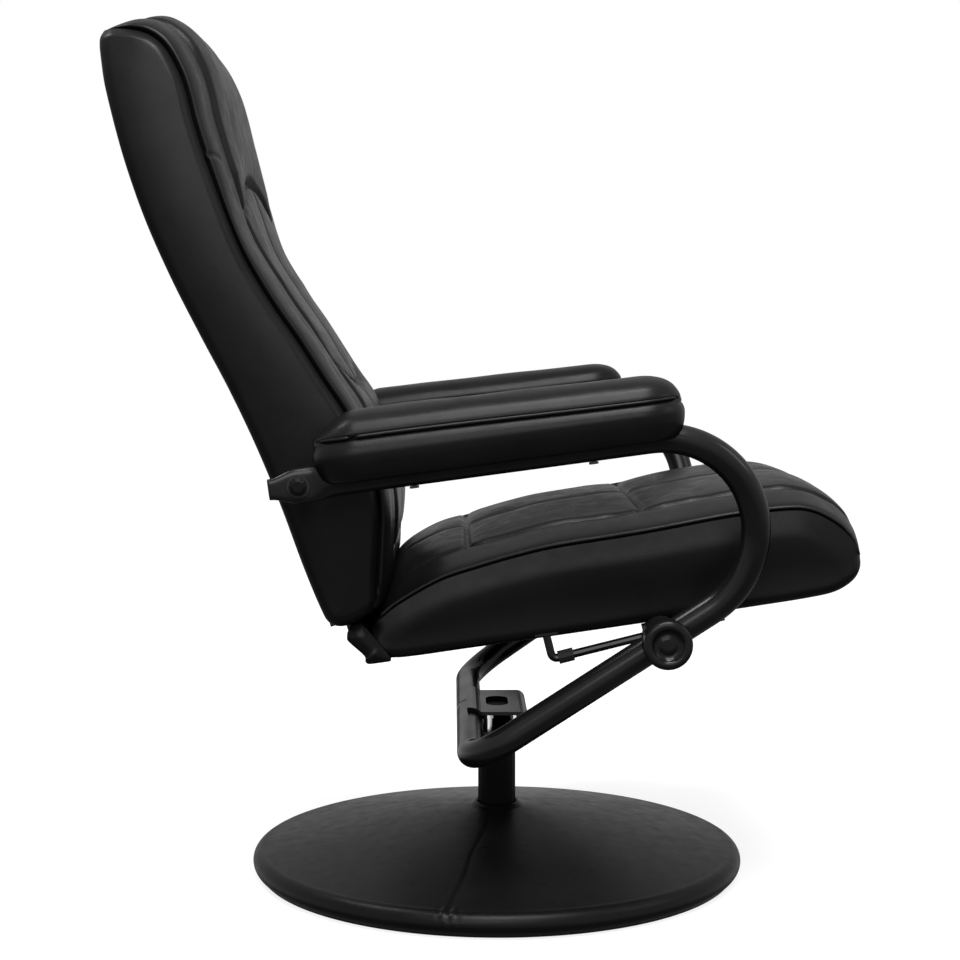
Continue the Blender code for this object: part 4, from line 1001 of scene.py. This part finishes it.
def build_back():
    strip = (1, BACK_REAR_CROWN)
    line = (front, front_away, back_half)
    box = padded_box("back_cover", rear, *line, back_bulge, BACK_ROLLS, strip, back_raise)
    cover = dress(link("back_cover", box), LEATHER, "back")
    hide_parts("back_shell")
    panel = sewn_panel("back_cushion_panel", *line, BACK_PANEL, back_relief, back_raise)
    cushion = dress(link("back_cushion_panel", panel), LEATHER, "back")
    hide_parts("back_cushion")
    route = welt_route(*line, BACK_PANEL["inset"], back_raise)
    dress(link("back_piping", welt_mesh("back_piping", route)), WELT, "back")


# Seat


def on_seat(points, origin=SEAT_ORIGIN):
    """Row-frame (x, z) of points in the seat's own plane."""
    slope = math.radians(SEAT_SLOPE)
    along, up = points[:, 0], points[:, 1]
    x = origin[0] + along * math.cos(slope) - up * math.sin(slope)
    z = origin[1] + along * math.sin(slope) + up * math.cos(slope)
    return np.stack([x, z], axis=1)


seat_top_flat, seat_s = spline(SEAT_TOP, LINE_POINTS)
seat_under_flat, _ = spline(SEAT_UNDER, LINE_POINTS)
seat_top = on_seat(seat_top_flat)
seat_under = on_seat(seat_under_flat)
seat_away_flat = normals(seat_top_flat, 1)
seat_away_flat[:, 0] = np.maximum(seat_away_flat[:, 0], 0)
seat_away_flat /= np.linalg.norm(seat_away_flat, axis=1)[:, None]
seat_away = on_seat(seat_away_flat, (0.0, 0.0))
seat_half = np.full(LINE_POINTS, SEAT_HALF)
seat_length = seat_s[-1]


def seat_relief(across):
    s = np.repeat(seat_s[:, None], across.shape[1], axis=1)
    half = np.full_like(s, SEAT_HALF)
    ends = quarter(s, SEAT_END) * quarter(seat_length - s, SEAT_END)
    cells = [(low, high, False, 0.0) for low, high in zip(SEAT_ROWS, SEAT_ROWS[1:])]
    return panel_relief(s, across, half, SEAT_PANEL, SEAT_PANEL["border"], cells) * ends


def seat_bulge(share, near_plain, near_sewn):
    edge = np.minimum(near_plain, near_sewn)
    return (SEAT_BULGE * share - SEAT_BULGE_LOW) * smooth01(edge / SEAT_BULGE_EDGE)


def build_seat():
    strip = (-1, 0.0)
    line = (seat_top, seat_away, seat_half)
    box = padded_box("seat_cover", seat_under, *line, seat_bulge, SEAT_ROLLS, strip, no_raise)
    cover = dress(link("seat_cover", box), LEATHER, "seat")
    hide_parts("seat_body_foam")
    panel = sewn_panel("seat_cushion_panel", *line, SEAT_PANEL, seat_relief, no_raise)
    cushion = dress(link("seat_cushion_panel", panel), LEATHER, "seat")
    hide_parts("seat_cushion")
    route = welt_route(*line, SEAT_PANEL["inset"], no_raise)
    dress(link("seat_piping", welt_mesh("seat_piping", route)), WELT, "seat")


def build_gutter():
    """Leather flap round the hinge, closed at both ends, from the backrest's bottom to under the seat."""
    turn = np.radians(np.linspace(*GUTTER_SWEEP, GUTTER_TURNS))
    around = HINGE + GUTTER_RADIUS * np.stack([np.cos(turn), np.sin(turn)], axis=1)
    toe = on_seat(np.array(GUTTER_TOE))
    outer, outer_s = spline(np.vstack([around[::GUTTER_SKIP], toe]), GUTTER_POINTS)
    inner = outer - GUTTER_WALL * normals(outer, -1)
    spine = np.linspace(HINGE + np.array(GUTTER_SPINE), toe[-1] + (0.0, GUTTER_TIP), len(outer))
    inside = GUTTER_HALF - GUTTER_WALL
    near = inside - GUTTER_EDGE
    loop = [(spine, -GUTTER_HALF), (outer, -GUTTER_HALF + GUTTER_EDGE)]
    loop += [(outer, y) for y in np.linspace(-inside, inside, GUTTER_COLUMNS)]
    loop += [(outer, GUTTER_HALF - GUTTER_EDGE), (spine, GUTTER_HALF), (spine, inside)]
    loop += [(inner, y) for y in np.linspace(near, -near, GUTTER_COLUMNS)]
    loop += [(spine, -inside)]
    grid = [np.stack([line[:, 0], np.full(len(line), y), line[:, 1]], axis=1) for line, y in loop]
    grid = np.swapaxes(np.array(grid), 0, 1)
    rows, cols = grid.shape[:2]
    faces = grid_faces(rows, cols, wrap=True)
    for start in (0, (rows - 1) * cols):
        for i in range(cols // 2 - 1):
            faces.append([start + i, start + i + 1, start + cols - 2 - i, start + cols - 1 - i])
    gutter = link("hinge_gutter", make_mesh("hinge_gutter", grid, faces))
    gutter.data.materials.append(LEATHER)
    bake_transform(gutter)


# Arm tubes and pads


def on_arm(along, up):
    slope = math.radians(ARM_SLOPE)
    x = ARM_PIVOT[0] + along * math.cos(slope) - up * math.sin(slope)
    z = ARM_PIVOT[1] + along * math.sin(slope) + up * math.cos(slope)
    return x, z


def loop_out(x, z):
    """How far out the side loop stands at a point of the side view."""
    slope = math.radians(ARM_SLOPE)
    rise = (x - ARM_PIVOT[0]) * -math.sin(slope) + (z - ARM_PIVOT[1]) * math.cos(slope)
    return ARM_OUT + rise * math.tan(math.radians(LOOP_FLARE))


def tube_route(side):
    """Middle line of one side's tube, from its flattened end to the middle of the chair."""
    start = [on_arm(along, 0.0) for along in np.linspace(-TAIL, ARM_LINE_END, ARM_POINTS)]
    points = [(x, side * ARM_OUT, z) for x, z in start]
    for angle in np.linspace(90 + ARM_SLOPE, BEND_TO, BEND_POINTS):
        turn = math.radians(angle)
        x = BEND_CENTRE[0] + BEND_RADIUS * math.cos(turn)
        z = BEND_CENTRE[1] + BEND_RADIUS * math.sin(turn)
        points.append((x, side * loop_out(x, z), z))
    points = np.array(points)
    corner = np.array([CROSS[0], side * loop_out(*CROSS), CROSS[1]])
    last = points[-1]
    into = (corner - last) / np.linalg.norm(corner - last)
    out = np.array([0.0, -side, 0.0])
    angle = math.acos(float(np.dot(into, out)))
    reach = CROSS_FILLET * math.tan(angle / 2)
    first = corner - into * reach
    normal = out - into * float(np.dot(into, out))
    normal /= np.linalg.norm(normal)
    centre = first + normal * CROSS_FILLET
    straight = [last + (first - last) * t for t in np.linspace(0, 1, RAKE_POINTS)[1:-1]]
    bend = []
    for turn in np.linspace(0, angle, CORNER_POINTS):
        bend.append(centre + CROSS_FILLET * (into * math.sin(turn) - normal * math.cos(turn)))
    end = np.array([corner[0], -side * CROSS_OVERLAP, corner[2]])
    across = [bend[-1] + (end - bend[-1]) * t for t in np.linspace(0, 1, CORNER_POINTS)[1:]]
    return np.vstack([points, straight, bend, across])


def tube_section(along):
    """Half width, half height and corner power of the tube at a distance along the arm line."""
    if along < 0:
        share = math.sin(math.pi / 2 * (1 + along / TAIL))
        return (FLAT_HALF, TAIL_HALF + (LOBE_HALF - TAIL_HALF) * share**2), FLAT_CORNERS
    ease = float(smooth01(np.array((along - FLAT_AHEAD) / FLAT_RAMP)))
    wide = FLAT_HALF + (TUBE_RADIUS - FLAT_HALF) * ease
    tall = LOBE_HALF + (TUBE_RADIUS - LOBE_HALF) * ease
    return (wide, tall), FLAT_CORNERS + ROUND_MORE * ease


def build_tube(label, side):
    route = tube_route(side)
    slope = math.radians(ARM_SLOPE)
    halves = []
    powers = []
    for i, (x, _, z) in enumerate(route):
        along = (x - ARM_PIVOT[0]) * math.cos(slope) + (z - ARM_PIVOT[1]) * math.sin(slope)
        half, power = tube_section(along) if i < ARM_POINTS else ((TUBE_RADIUS, TUBE_RADIUS), 1.0)
        halves.append(half)
        powers.append(power)
    mesh = rings_mesh(f"side_tube_{label}", route, halves, (0.0, 1.0, 0.0), TUBE_SIDES, powers)
    made = dress(link(f"side_tube_{label}", mesh), PAINT, "frame")
    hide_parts(f"frame_tube_{label}")


def pad_ring():
    """Middle line point and outward direction round an arm pad's plan."""
    low = PAD_START + PAD_HALF
    high = PAD_END - PAD_HALF
    straight = np.linspace(low, high, PAD_RING_POINTS // 2)
    half_turn = np.linspace(0, math.pi, PAD_RING_POINTS // 4)[1:-1]
    middle = [straight, np.full(len(half_turn), high), straight[::-1], np.full(len(half_turn), low)]
    zero = np.zeros(len(straight))
    one = np.ones(len(straight))
    along = [zero, np.sin(half_turn), zero, -np.sin(half_turn)]
    across = [-one, -np.cos(half_turn), one, np.cos(half_turn)]
    return np.concatenate(middle), np.stack([np.concatenate(along), np.concatenate(across)], axis=1)


def pad_drop(along, up):
    """How far the pad's top thins to a wedge at its rear end and towards its front."""
    lid = np.clip((up - PAD_GROOVE) / (PAD_PROFILE[0][1] - PAD_GROOVE), 0, 1)
    rear_end = PAD_REAR_DROP * smooth01((PAD_REAR_END - along) / PAD_REAR_RAMP)
    thin = PAD_FRONT_THIN * smooth01((along - PAD_THIN_FROM) / PAD_THIN_RAMP) - PAD_RAISE
    return rear_end * lid + thin * smooth01((up - PAD_THIN_LOW) / PAD_THIN_RISE)


def build_pad(label, side):
    middle, away = pad_ring()
    profile, _ = spline(PAD_PROFILE, PAD_PROFILE_POINTS)
    notch = smooth01((np.abs(away[:, 1]) - PAD_NOTCH_FROM) / PAD_NOTCH_RAMP)
    filled = np.interp(profile[:, 1], PAD_GROOVE_UP, PAD_GROOVE_FILL)
    in_groove = (profile[:, 1] > PAD_GROOVE_UP[0]) & (profile[:, 1] < PAD_GROOVE_UP[1])
    plain = np.where(in_groove & (profile[:, 0] > PAD_GROOVE_OUT), filled, profile[:, 0])
    reach = plain[:, None] + (profile[:, 0] - plain)[:, None] * notch[None, :]
    along = middle[None, :] + reach * away[:, 0][None, :]
    across = side * ARM_OUT + reach * away[:, 1][None, :]
    up = np.repeat(profile[:, 1][:, None], len(middle), axis=1)
    cell_along = along / PAD_UNEVEN_CELL[0] + PAD_UNEVEN_SHIFT[0]
    cell_across = across / PAD_UNEVEN_CELL[1] + PAD_UNEVEN_SHIFT[1]
    uneven = noise(cell_along, cell_across, PAD_SEED + side) - 0.5
    up = up + PAD_UNEVEN_LIFT * uneven * smooth01((up - PAD_UNEVEN_FROM) / PAD_UNEVEN_RAMP)
    x, z = on_arm(along, up - pad_drop(along, up))
    mesh = grid_mesh("arm_cushion", np.stack([x, across, z], axis=-1), wrap=True)
    pad = dress(link(f"arm_cushion_{label}", mesh), LEATHER, "frame")
    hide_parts(f"arm_pad_{label}")
    reach = PAD_WELT - PAD_WELT_IN * (1 - notch)
    route_along = middle + reach * away[:, 0]
    up = np.full(len(middle), PAD_WELT_UP)
    x, z = on_arm(route_along, up - pad_drop(route_along, up))
    route = np.stack([x, side * ARM_OUT + reach * away[:, 1], z], axis=1)
    route, _ = spline(np.vstack([route, route[:1]])[::PAD_WELT_SKIP], PAD_WELT_POINTS)
    welt = link(f"arm_piping_{label}", welt_mesh("arm_piping", route))
    dress(welt, WELT, "frame")


def build_knob(label, side):
    profile, _ = spline(KNOB_PROFILE, KNOB_POINTS)

    def place(radius, height, turn):
        x = KNOB[0] + radius * np.cos(turn)
        z = KNOB[1] + radius * np.sin(turn)
        return np.stack([x, side * height, z], axis=-1)

    mesh = lathe_mesh("hand_knob", profile, KNOB_SIDES, place)
    knob = dress(link(f"hand_knob_{label}", mesh), PLASTIC, f"knob_{label}")
    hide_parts(f"knob_{label}")


def build_collar():
    """Oblong flanged collar that closes the view through the bracket's slot."""

    def place(radius, height, turn):
        narrow = np.minimum(radius, COLLAR_HALF_X)
        return np.stack([narrow * np.cos(turn), radius * np.sin(turn), height], axis=-1)

    mesh = lathe_mesh("spindle_collar", np.array(COLLAR_PROFILE), COLLAR_SIDES, place)
    dress(link("spindle_collar", mesh), DULL_PAINT, "frame")


# Base


def build_base():
    """Leather-wrapped disc: shallow cone, rounded rim, one radial fold and puckers at the rim."""
    shoulder = BASE_RADIUS - BASE_ROUND
    profile = [(POST_RADIUS + out, BASE_DOME + up) for out, up in BASE_LIP]
    for share in np.linspace(DOME_START, 1, DOME_POINTS):
        radius = POST_RADIUS + (shoulder - POST_RADIUS) * share
        straight = BASE_DOME + (BASE_RIM - BASE_DOME) * share
        profile.append((radius, straight + DOME_SWELL * math.sin(math.pi * share)))
    for angle in np.linspace(*RIM_SWEEP, RIM_POINTS):
        turn = math.radians(angle)
        rise = BASE_RIM - BASE_ROUND + BASE_ROUND * math.sin(turn)
        profile.append((shoulder + BASE_ROUND * math.cos(turn), rise))
    profile += [(BASE_RADIUS - inset, up) for inset, up in BASE_FOOT]

    def place(radius, height, turn):
        swing = (turn - FOLD_TURN + math.pi) % (2 * math.pi) - math.pi
        reach = swing * radius + FOLD_WAVE * np.sin(radius * FOLD_WAVES)
        top = smooth01((radius - FOLD_FROM) / FOLD_RAMP)
        step = FOLD_STEP * smooth01((reach + FOLD_STEP_HALF) / (2 * FOLD_STEP_HALF))
        step = step * np.exp(-np.maximum(reach, 0) / FOLD_STEP_FADE)
        crease = CREASE_DEPTH * np.exp(-((reach / CREASE_WIDTH) ** 2))
        rim = smooth01((radius - shoulder + PUCKER_BEFORE_RIM) / PUCKER_RAMP)
        pucker = PUCKER_LIFT * np.cos(reach / PUCKER_PITCH) * np.exp(-((reach / PUCKER_REACH) ** 2)) * rim
        fold = (step + crease) * top * (height > FOLD_LOWEST)
        height = height - fold - pucker * (height > PUCKER_LOWEST)
        return np.stack([radius * np.cos(turn), radius * np.sin(turn), height], axis=-1)

    mesh = lathe_mesh("base_leather", np.array(profile), BASE_SIDES, place)
    cover = dress(link("base_leather", mesh), LEATHER, "base")
    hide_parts("base_cover")


# Studio


def seen_rays(tree):
    """1 for camera, glossy and transmission rays, which see the white background."""
    path = tree.nodes.new("ShaderNodeLightPath")
    first = combined(tree, "MAXIMUM", path.outputs["Is Camera Ray"], path.outputs["Is Glossy Ray"])
    return combined(tree, "MAXIMUM", first, path.outputs["Is Transmission Ray"])


def lamp(name, place, target, width, height, power):
    data = bpy.data.lights.new(name, "AREA")
    data.shape = "RECTANGLE"
    data.size = width
    data.size_y = height
    data.energy = power
    made = bpy.data.objects.new(name, data)
    bpy.context.scene.collection.objects.link(made)
    made.location = place
    made.rotation_euler = (Vector(target) - Vector(place)).to_track_quat("-Z", "Y").to_euler()


def build_floor():
    """Pale matt floor that whitens away from the chair."""
    reach = (-FLOOR_HALF, FLOOR_HALF)
    corners = np.array([[(x, y, 0) for x in reach] for y in reach], float)
    floor = link("floor", grid_mesh("floor", corners), smooth=False)
    material = bpy.data.materials.new("floor")
    material.use_nodes = True
    tree = material.node_tree
    tree.nodes.clear()
    output = tree.nodes.new("ShaderNodeOutputMaterial")
    matt = node(tree, "ShaderNodeBsdfDiffuse", Color=(FLOOR_GREY, FLOOR_GREY, FLOOR_GREY, 1))
    place = tree.nodes.new("ShaderNodeTexCoord").outputs["Object"]
    length = node(tree, "ShaderNodeVectorMath", operation="LENGTH")
    tree.links.new(place, length.inputs[0])
    pale = scaled(tree, length.outputs["Value"], FLOOR_NEAR, FLOOR_FAR, FLOOR_PALE, 1.0)
    glow = node(tree, "ShaderNodeEmission")
    tree.links.new(combined(tree, "MULTIPLY", pale, seen_rays(tree)), glow.inputs["Strength"])
    both = tree.nodes.new("ShaderNodeAddShader")
    tree.links.new(matt.outputs["BSDF"], both.inputs[0])
    tree.links.new(glow.outputs["Emission"], both.inputs[1])
    tree.links.new(both.outputs["Shader"], output.inputs["Surface"])
    floor.data.materials.append(material)


def build_studio():
    """World, lamps and camera."""
    world = bpy.data.worlds.new("studio")
    bpy.context.scene.world = world
    world.use_nodes = True
    tree = world.node_tree
    tree.nodes.clear()
    output = tree.nodes.new("ShaderNodeOutputWorld")
    soft = node(tree, "ShaderNodeBackground", Color=(1, 1, 1, 1), Strength=WORLD_LIGHT)
    white = node(tree, "ShaderNodeBackground", Color=(1, 1, 1, 1), Strength=1.0)
    choose = tree.nodes.new("ShaderNodeMixShader")
    tree.links.new(seen_rays(tree), choose.inputs["Fac"])
    tree.links.new(soft.outputs["Background"], choose.inputs[1])
    tree.links.new(white.outputs["Background"], choose.inputs[2])
    tree.links.new(choose.outputs["Shader"], output.inputs["Surface"])

    for name, place, aim, size, power in LAMPS:
        lamp(name, place, (0.0, 0.0, aim), *size, power)

    scene = bpy.context.scene
    scene.view_settings.view_transform = "Standard"
    data = bpy.data.cameras.new("camera")
    data.sensor_width = CAMERA_SENSOR
    data.lens = CAMERA_LENS
    camera = bpy.data.objects.new("camera", data)
    scene.collection.objects.link(camera)
    camera.location = CAMERA_PLACE
    camera.rotation_euler = (math.radians(90 - CAMERA_PITCH), 0.0, math.radians(-CAMERA_YAW))
    scene.camera = camera


build_floor()
build_studio()
build_back()
build_seat()
build_gutter()
for label, side in SIDES.items():
    build_tube(label, side)
    build_pad(label, side)
    build_knob(label, side)
build_collar()
build_base()

bpy.context.view_layer.update()
